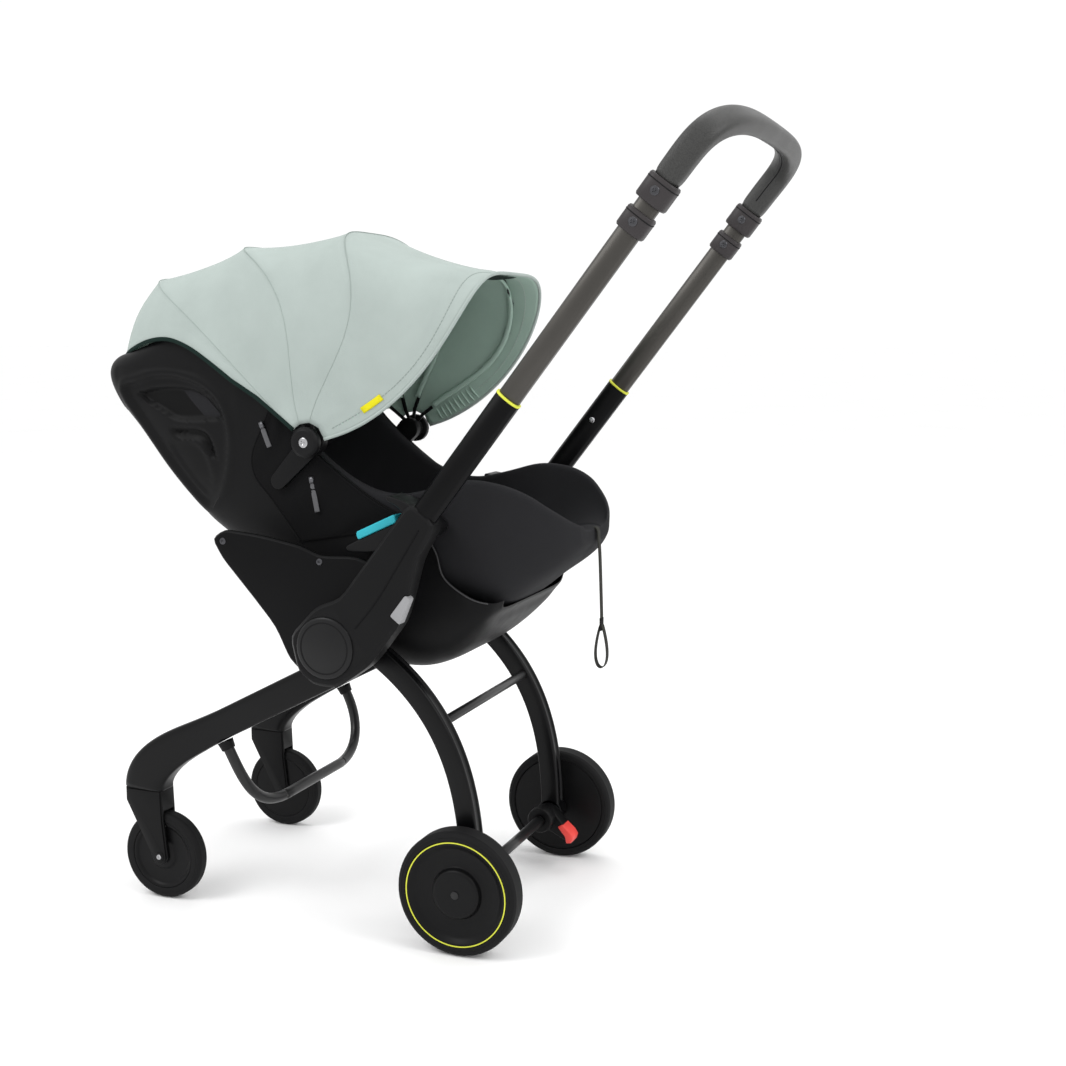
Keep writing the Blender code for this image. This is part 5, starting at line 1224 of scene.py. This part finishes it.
def shell_surface():
    """Rows of the shell's outside, with its relief, and of its inside."""
    outer, inner = [], []
    for rim, bottom, half in station_rows(SHELL_STATIONS, SHELL_ROWS):
        outer.append(u_row(rim, bottom, half, half, SHELL_POWER, SHELL_COLUMNS))
        depth = math.dist(rim, bottom)
        floor = toward(rim, bottom, (depth - min(SHELL_WALL, depth * 0.4)) / depth)
        thin = half - SHELL_WALL
        inner.append(u_row(rim, floor, thin, thin, SHELL_POWER, SHELL_COLUMNS))
    shaped = []
    for r, row in enumerate(outer):
        before, after = outer[max(r - 1, 0)], outer[min(r + 1, SHELL_ROWS)]
        new_row = []
        for c, point in enumerate(row):
            normal = (after[c] - before[c]).cross(heading(row, c)).normalized()
            if normal.dot(point - (inner[r][0] + inner[r][-1]) / 2) < 0:
                normal = -normal
            height = shell_relief(point)
            new_row.append(point + normal * height)
            inner[r][c] = inner[r][c] + normal * min(0.0, height + 0.0006)
        shaped.append(new_row)
    return shaped, inner


shell_outer, shell_inner = shell_surface()
shell_rings = [outer_row + inner_row[::-1] for outer_row, inner_row in zip(shell_outer, shell_inner)]
shell = trough("shell", shell_rings, SHELL_COLUMNS, 0, looks["shell"])
sunk = shell.data.attributes.new("sunk", "FLOAT", "POINT")
for vertex in shell.data.vertices:
    deep = max(inside_by(vertex.co.yz, outline) for outline, _ in POCKETS[:2])
    deep = min(deep, abs(vertex.co.x) - SPINE_HALF - 0.009)
    sunk.data[vertex.index].value = step_up(deep + 0.0005, 0.0045)
soft_edges(shell, 0.0, 1, 40.0)
ride(shell, "seat", "shell_plastic", "seat_shell")

# A thin real bead along the front of the shell's rim; its paler grey is a painted highlight of the lip
for side, column in (("right", 0), ("left", -1)):
    lip = [row[column] for row in shell_outer if 0.012 < row[column].y < 0.116 and row[column].z < 0.52]
    lip = [Vector((p.x + math.copysign(0.0004, p.x), p.y, p.z - 0.0008)) for p in lip]
    ride(swept(f"shell_lip_{side}", lip, 0.0009, 0.0009, looks["bead"], 10), "seat", "shell_plastic")

# The ears that carry the canopy's pivots, on the shell's sides, and the bosses at the hubs
EAR_TAIL = (-0.160, 0.556)
EAR_RADII = (0.0150, 0.0105)
EAR_PLATE = (0.1275, 0.1400)


def capsule(start, end, start_radius, end_radius, steps=14):
    """The outline of a bar with round ends between two places."""
    direction = math.atan2(end[1] - start[1], end[0] - start[0])
    points = []
    for place, radius, turn in ((start, start_radius, math.pi / 2), (end, end_radius, -math.pi / 2)):
        for index in range(steps + 1):
            angle = direction + turn + math.pi * index / steps
            points.append((place[0] + radius * math.cos(angle), place[1] + radius * math.sin(angle)))
    return points


for side, facing in SIDES:
    ear_shape = (capsule(PIVOT, EAR_TAIL, *EAR_RADII), *[facing * x for x in EAR_PLATE], looks["arm"])
    ride(plate(f"canopy_ear_{side}", *ear_shape), "seat", "shell_plastic")
    boss_shape = (*HUB_BOSS, (0, *HUB), looks["shell"], 48, facing)
    ride(hoop(f"hub_boss_{side}", *boss_shape), "seat", "shell_plastic")


# Seat liner: each station is the rim's y and z, the bottom's y and z, the half width at the rim and
# at the bottom, and the hollow's share of the depth
LINER_STATIONS = (
    (-0.376, 0.706, -0.395, 0.705, 0.070, 0.070, 0.30), (-0.352, 0.714, -0.412, 0.693, 0.098, 0.098, 0.62),
    (-0.322, 0.722, -0.418, 0.674, 0.117, 0.116, 0.80), (-0.285, 0.725, -0.405, 0.646, 0.1245, 0.124, 0.86),
    (-0.243, 0.709, -0.381, 0.608, 0.1265, 0.1262, 0.88),
    (-0.203, 0.676, -0.336, 0.556, 0.1265, 0.1262, 0.89),
    (-0.163, 0.638, -0.278, 0.504, 0.1265, 0.1262, 0.89), (-0.135, 0.61, -0.22, 0.464, 0.1265, 0.1262, 0.89),
    (-0.10, 0.58, -0.165, 0.432, 0.1265, 0.1262, 0.88), (-0.066, 0.557, -0.115, 0.413, 0.1265, 0.1262, 0.87),
    (-0.032, 0.543, -0.065, 0.405, 0.1265, 0.1262, 0.86), (0.004, 0.54, -0.015, 0.402, 0.1265, 0.125, 0.84),
    (0.045, 0.549, 0.03, 0.401, 0.1265, 0.122, 0.80), (0.088, 0.56, 0.065, 0.404, 0.132, 0.119, 0.74),
    (0.128, 0.557, 0.104, 0.412, 0.134, 0.116, 0.66), (0.16, 0.545, 0.146, 0.43, 0.125, 0.108, 0.55),
    (0.183, 0.527, 0.174, 0.446, 0.108, 0.096, 0.42), (0.199, 0.512, 0.196, 0.464, 0.085, 0.078, 0.32),
    (0.209, 0.502, 0.21, 0.482, 0.055, 0.052, 0.25),
)
LINER_WALL = 0.0140
LINER_BACK_IN = 0.0090
LINER_ROWS = 84
LINER_COLUMNS = 56
LINER_LIP = 0.0050
SEAM_ROWS = (0.30, 0.42, 0.54)


def bell(value):
    return math.exp(-(value**2))


def over_lip(outside, inside, rise):
    """Three points over the rim from the outside to the inside."""
    return [outside.lerp(inside, s) + rise * lift for s, lift in ((0.14, 0.7), (0.5, 1.0), (0.86, 0.7))]


def liner_rings():
    """The liner's rings: its outside, its rolled lip and its hollow with seams and channels."""
    rings = []
    for index, station in enumerate(station_rows(LINER_STATIONS, LINER_ROWS)):
        rim, bottom, half_rim, half_bottom, share = station
        t = index / LINER_ROWS
        back = step_up(0.40 - t, 0.12)
        depth = math.dist(rim, bottom)
        shrink = 0.012 * back - 0.0160 * bell((bottom[0] - 0.110) / 0.032)
        low = toward(rim, bottom, 1 - shrink / max(depth, 0.02))
        aside = LINER_BACK_IN * back
        outer = u_row(rim, low, half_rim - aside * 0.3, half_bottom - aside, 4.5, LINER_COLUMNS)
        floor = toward(rim, bottom, share)
        wall = (half_rim - LINER_WALL, half_bottom - LINER_WALL - 0.006)
        inner = u_row(rim, floor, *wall, 3.2, LINER_COLUMNS)
        groove = sum(bell((t - seam) * 300) for seam in SEAM_ROWS)
        for place, point in enumerate(inner):
            around = math.sin(math.pi * place / LINER_COLUMNS)
            channel = bell((abs(place / LINER_COLUMNS - 0.5) - 0.20) * 60)
            puff = 0.0025 * around * (1 - groove) - 0.0035 * channel - 0.003 * groove * around
            inner[place] = point + (Vector((0, *rim)) - point).normalized() * puff
        rise = Vector((0, rim[0] - bottom[0], rim[1] - bottom[1])).normalized()
        rise *= LINER_LIP * min(1.0, depth / 0.06)
        left, right = [over_lip(outer[end], inner[end], rise) for end in (-1, 0)]
        rings.append(outer + left + inner[::-1] + right[::-1])
    return rings


liner = trough("liner", liner_rings(), LINER_COLUMNS, 3, looks["fabric"])
applied(liner, "SUBSURF", levels=1, render_levels=1)
ride(liner, "seat", "seat_fabric", "seat_liner")

# Head pad: each station is the rim's y and z, the bottom's y and z, and the half width
HEAD_STATIONS = (
    (-0.268, 0.69, -0.356, 0.6245, 0.101), (-0.236, 0.668, -0.337, 0.6005, 0.106),
    (-0.204, 0.64, -0.312, 0.5685, 0.105), (-0.178, 0.608, -0.281, 0.5415, 0.098),
)
HEAD_ROWS = 30
HEAD_COLUMNS = 44


def head_rings():
    """The head pad's rings: its outside, its lip and its cushioned inside with three channels."""
    rings = []
    for index, (rim, bottom, half) in enumerate(station_rows(HEAD_STATIONS, HEAD_ROWS)):
        crown = math.sin(math.pi * min(1.0, max(0.0, 0.06 + 0.88 * index / HEAD_ROWS))) ** 0.6
        outer = u_row(rim, bottom, half, half - 0.008, 3.4, HEAD_COLUMNS)
        floor = toward(rim, bottom, 0.78)
        inner = u_row(rim, floor, half - 0.018, half - 0.030, 2.6, HEAD_COLUMNS)
        for place, point in enumerate(inner):
            channel = sum(bell((place / HEAD_COLUMNS - middle) * 70) for middle in (0.28, 0.5, 0.72))
            inner[place] = outer[place].lerp(point, max(0.12, crown * (1 - 0.30 * channel)))
        rise = Vector((0, rim[0] - bottom[0], rim[1] - bottom[1])).normalized() * 0.006 * crown
        left, right = [(outer[end] + inner[end]) / 2 + rise for end in (-1, 0)]
        rings.append(outer + [left] + inner[::-1] + [right])
    return rings


head = trough("head_cushion", head_rings(), HEAD_COLUMNS, 1, looks["pad"])
applied(head, "SUBSURF", levels=1, render_levels=1)
ride(head, "seat", "seat_fabric", "head_pad")

# Harness: two shoulder straps with soft covers, and the tongues in the buckle
HARNESS_ROUTE = (
    (0.030, -0.2598, 0.5524), (0.034, -0.212, 0.5225), (0.036, -0.150, 0.4920),
    (0.030, -0.080, 0.4730), (0.018, -0.035, 0.4665),
)
HARNESS_HALF = (0.0165, 0.0012)
COVER_HALF = (0.0190, 0.0052)
TONGUE_PLATE = (0.003, 0.034)
TONGUE = [(-0.046, 0.4655), (-0.0225, 0.4645), (-0.0225, 0.4685), (-0.046, 0.4695)]


def closing_in(full, end, rate):
    """A half that is full along a bar and closes to a share of it at both ends."""
    return lambda share: full * min(1.0, end + rate * min(share, 1 - share))


for side, facing in SIDES:
    path = smooth_path([(facing * x, y, z) for x, y, z in HARNESS_ROUTE], 10)
    web = swept(f"harness_strap_{side}", path, *HARNESS_HALF, looks["webbing"], 20, 6.0)
    ride(web, "seat", "webbing", *(["harness"] if side == "left" else []))
    cover_path = [sample(path, 0.05 + 0.50 * k / 24) for k in range(25)]
    halves = (closing_in(COVER_HALF[0], 0.80, 6), closing_in(COVER_HALF[1], 0.35, 8))
    cover = swept(f"harness_cover_{side}", cover_path, *halves, looks["pad"], 24, 3.0)
    ride(cover, "seat", "webbing")
    tongue_shape = (TONGUE, *[facing * x for x in TONGUE_PLATE], looks["moulding"], 0.0012)
    ride(plate(f"harness_tongue_{side}", *tongue_shape), "seat", "webbing")


# Black cloth over the sides between the shell's band and the arms, with its zip pulls
FABRIC_REAR = (
    (-0.175, 0.644), (-0.190, 0.615), (-0.202, 0.586), (-0.198, 0.559), (-0.176, 0.533),
    (-0.150, 0.500), (-0.135, 0.480),
)
FABRIC_FRONT = (
    (-0.162, 0.638), (-0.135, 0.611), (-0.100, 0.581), (-0.068, 0.557), (-0.038, 0.537),
    (-0.004, 0.519), (0.020, 0.504),
)
ZIP_PULLS = (((-0.1852, 0.6244), (-0.1746, 0.5973)), ((-0.1162, 0.5581), (-0.1087, 0.5187)))
PANEL_SCREWS = ((-0.2145, 0.4835), (-0.0800, 0.4650))


def side_cloth(side, facing):
    """The cloth on one side of the shell, with a piped edge in front and behind."""
    rear, front = [smooth_path([(0, *place) for place in line], 6) for line in (FABRIC_REAR, FABRIC_FRONT)]
    rows = []
    for index, (a, b) in enumerate(zip(rear, front)):
        t = index / (len(rear) - 1)
        row = []
        for step in range(31):
            s = step / 30
            place = a.lerp(b, s)
            puff = 0.0030 * math.sin(math.pi * s) * math.sin(math.pi * min(1.0, t + 0.05))
            crease = 0.0010 * math.sin(26 * t + 9 * s + 3 * noise.noise(place * 18.0)) * math.sin(math.pi * s)
            x = SHELL_HALF + 0.0012 + max(0.0, puff + crease)
            row.append(Vector((facing * x, place.y, place.z)))
        rows.append(row)
    cover = grid(f"side_cloth_{side}", rows, looks["side_fabric"])
    applied(cover, "SOLIDIFY", thickness=CLOTH_THICK, offset=0.0)
    ride(cover, "seat", "seat_fabric")
    for name, line in (("rear", rear), ("front", front)):
        edge = [(facing * (SHELL_HALF + 0.0014), p.y, p.z) for p in line]
        trim = swept(f"side_cloth_edge_{name}_{side}", edge, 0.0010, 0.0012, looks["piping"], 10)
        ride(trim, "seat", "seat_fabric")


def zip_pull(name, top, bottom, facing):
    """A slider with a flat tab hanging from it."""
    start, end = [Vector((facing * (SHELL_HALF + 0.0044), *place)) for place in (top, bottom)]
    ahead = (end - start).normalized()
    across = ahead.cross(X_AXIS)
    path = [start - ahead * 0.004, start + ahead * 0.004]
    ride(swept(f"{name}_slider", path, 0.0032, 0.0020, looks["zip"], 16, 3.0, across), "seat", "seat_fabric")
    path = evenly([start + ahead * d for d in (0.003, 0.006, 0.012)] + [end], 20)
    shape = (lambda share: 0.0034 * min(1.0, 0.45 + 4 * share), 0.0009, looks["pull"], 16, 4.0, across)
    ride(swept(f"{name}_tab", path, *shape), "seat", "seat_fabric")


for side, facing in SIDES:
    side_cloth(side, facing)
    for index, (top, bottom) in enumerate(ZIP_PULLS):
        zip_pull(f"zip_pull_{index}_{side}", top, bottom, facing)
    for index, place in enumerate(PANEL_SCREWS):
        shape = ((facing * PANEL_OUT, *place), (facing, 0, 0), SCREW_RADIUS["panel"], looks["dark_steel"])
        ride(screw(f"panel_screw_{index}_{side}", *shape), body_of(f"side_panel_{side}"), "shell_plastic")

# Brake: a black lever with a red pad at its end, drums and a sleeve on the axle, in (y, z) from the axle
LEVER = ((0.0300, -0.0300), (0.0330, -0.0310), (0.0330, -0.0170), (0.0260, -0.0060), (0.0120, 0.0100))
PAD = (
    (0.0270, -0.0080), (0.0385, -0.0180), (0.0430, -0.0250), (0.0405, -0.0330), (0.0330, -0.0345),
    (0.0310, -0.0250), (0.0200, -0.0120),
)
LEVER_EYE = 0.0140
PAD_OVERHANG = (0.0006, 0.0016)
DRUM_RADII = (0.0075, 0.0172)


def span(name):
    """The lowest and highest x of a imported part."""
    node = nodes[name]
    values = [(node.matrix_world @ vertex.co).x for vertex in node.data.vertices]
    return min(values), max(values)


def from_axle(places):
    return [(REAR_AXLE[0] + y, REAR_AXLE[1] + z) for y, z in places]


low, high = span("brake_pedal")
lever_turns = [math.radians(angle) for angle in range(75, 256, 12)]
round_end = [(LEVER_EYE * math.cos(turn), LEVER_EYE * math.sin(turn)) for turn in lever_turns]
lever = plate("pedal_lever", from_axle([*round_end, *LEVER]), low, high, looks["fork"], 0.0016)
ride(lever, body_of("brake_pedal"), "fork_plastic", "brake_pedal")
low, high = low - PAD_OVERHANG[0], high + PAD_OVERHANG[1]
pad = plate("pedal_pad", from_axle(PAD), low, high, looks["red"], 0.0018)
ride(pad, body_of("brake_pedal"), "red_plastic")
for side, facing in SIDES:
    low, high = span(f"brake_collar_{side}")
    half = (high - low) / 2 + 0.0004
    drum_shape = (-half, half, *DRUM_RADII, 0.0022, ((low + high) / 2, *REAR_AXLE), looks["fork"])
    ride(hoop(f"brake_drum_{side}", *drum_shape), body_of(f"brake_collar_{side}"), "fork_plastic")
sleeve_path = [(x, *REAR_AXLE) for x in (max(span("brake_collar_right")), min(span("brake_collar_left")))]
sleeve = swept("axle_sleeve", sleeve_path, 0.0068, 0.0068, looks["bar"], 32, 2.0, (0, 1, 0))
ride(sleeve, body_of("rear_axle"), "bar_metal")
for side, facing in SIDES:
    place = (span(f"caster_fork_{side}")[1 if facing > 0 else 0], *FRONT_AXLE)
    screw_shape = (place, (facing, 0, 0), SCREW_RADIUS["caster"], looks["steel"])
    hub_screw = screw(f"caster_screw_{side}", *screw_shape)
    ride(hub_screw, body_of(f"caster_fork_{side}"), "fork_plastic")


# Floor, world and lights
FLOOR_REACH = 90.0
WORLD_LIGHT = 1.03
floor_corners = [(x * FLOOR_REACH, y * FLOOR_REACH, -0.0004) for x, y in ((-1, -1), (1, -1), (1, 1), (-1, 1))]
floor_mesh = bpy.data.meshes.new("floor")
floor_mesh.from_pydata(floor_corners, [], [(0, 1, 2, 3)])
floor_look = Surface("look_floor", tone("fbfbfb"), 0.75)
floor_colour = floor_look.mix(floor_look.noise(1.5), tone("f9f9f9"), tone("ffffff"))
floor_look.fill(floor_look.shader, {"Base Color": floor_colour})
add_piece("floor", floor_mesh, floor_look.material)

world = bpy.data.worlds.new("world")
bpy.context.scene.world = world
world.use_nodes = True
world.node_tree.nodes["Background"].inputs["Color"].default_value = (1, 1, 1, 1)
world.node_tree.nodes["Background"].inputs["Strength"].default_value = WORLD_LIGHT

# Each lamp's place, target, size and power
LAMPS = {
    "key": ((1.5, -1.2, 2.3), (0, 0, 0.5), 1.2, 24),
    "fill": ((0.5, 2.1, 2.0), (0, 0.05, 0.5), 1.2, 19),
    "top": ((-0.3, 0.3, 2.8), (0, 0, 0.4), 1.4, 14),
}
for name, (place, target, size, power) in LAMPS.items():
    lamp = bpy.data.lights.new(name, "AREA")
    lamp.shape = "SQUARE"
    lamp.size = size
    lamp.energy = power
    aimed(name, lamp, place, target)
bpy.context.scene.view_settings.view_transform = "Standard"

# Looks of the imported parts, by the start of their names
PARTS_BY_LOOK = {
    "tyre": "rear_tyre front_tyre",
    "wheel": "rear_wheel front_wheel",
    "fork": "caster_fork brake_collar",
    "leg": "front_leg rear_leg",
    "bar": "rear_axle rear_crossbar front_bar",
    "red": "brake_pedal buckle_button",
    "steel": "hub_pin",
    "arm": "handle_arm",
    "button": "arm_button",
    "cap": "hub_cap",
    "tube_low": "lower_tube",
    "tube_high": "upper_tube",
    "collar": "grip_lower_collar grip_upper_collar",
    "grip": "grip",
    "shell": "seat_shell",
    "panel": "side_panel",
    "moulding": "belt_guide canopy_knob buckle",
    "cyan": "belt_strip",
    "bow": "bow",
    "webbing": "harness",
    "fabric": "seat_liner",
    "pad": "head_pad",
    "canopy": "canopy",
    "strap": "adjuster_strap",
}
LOOK_OF = {part: look for look, parts in PARTS_BY_LOOK.items() for part in parts.split()}
EDGE_WIDTH = {
    "seat_shell": 0.0009,
    "handle_arm": 0.0010,
    "arm_button": 0.0016,
    "side_panel": 0.0008,
    "hub_cap": 0.0006,
}
OTHER_EDGES = 0.0004
for name, node in nodes.items():
    key = max((part for part in LOOK_OF if name.startswith(part)), key=len)
    node.data.materials.clear()
    node.data.materials.append(looks[LOOK_OF[key]])
    soft_edges(node, EDGE_WIDTH.get(key, OTHER_EDGES), 2, 32.0)
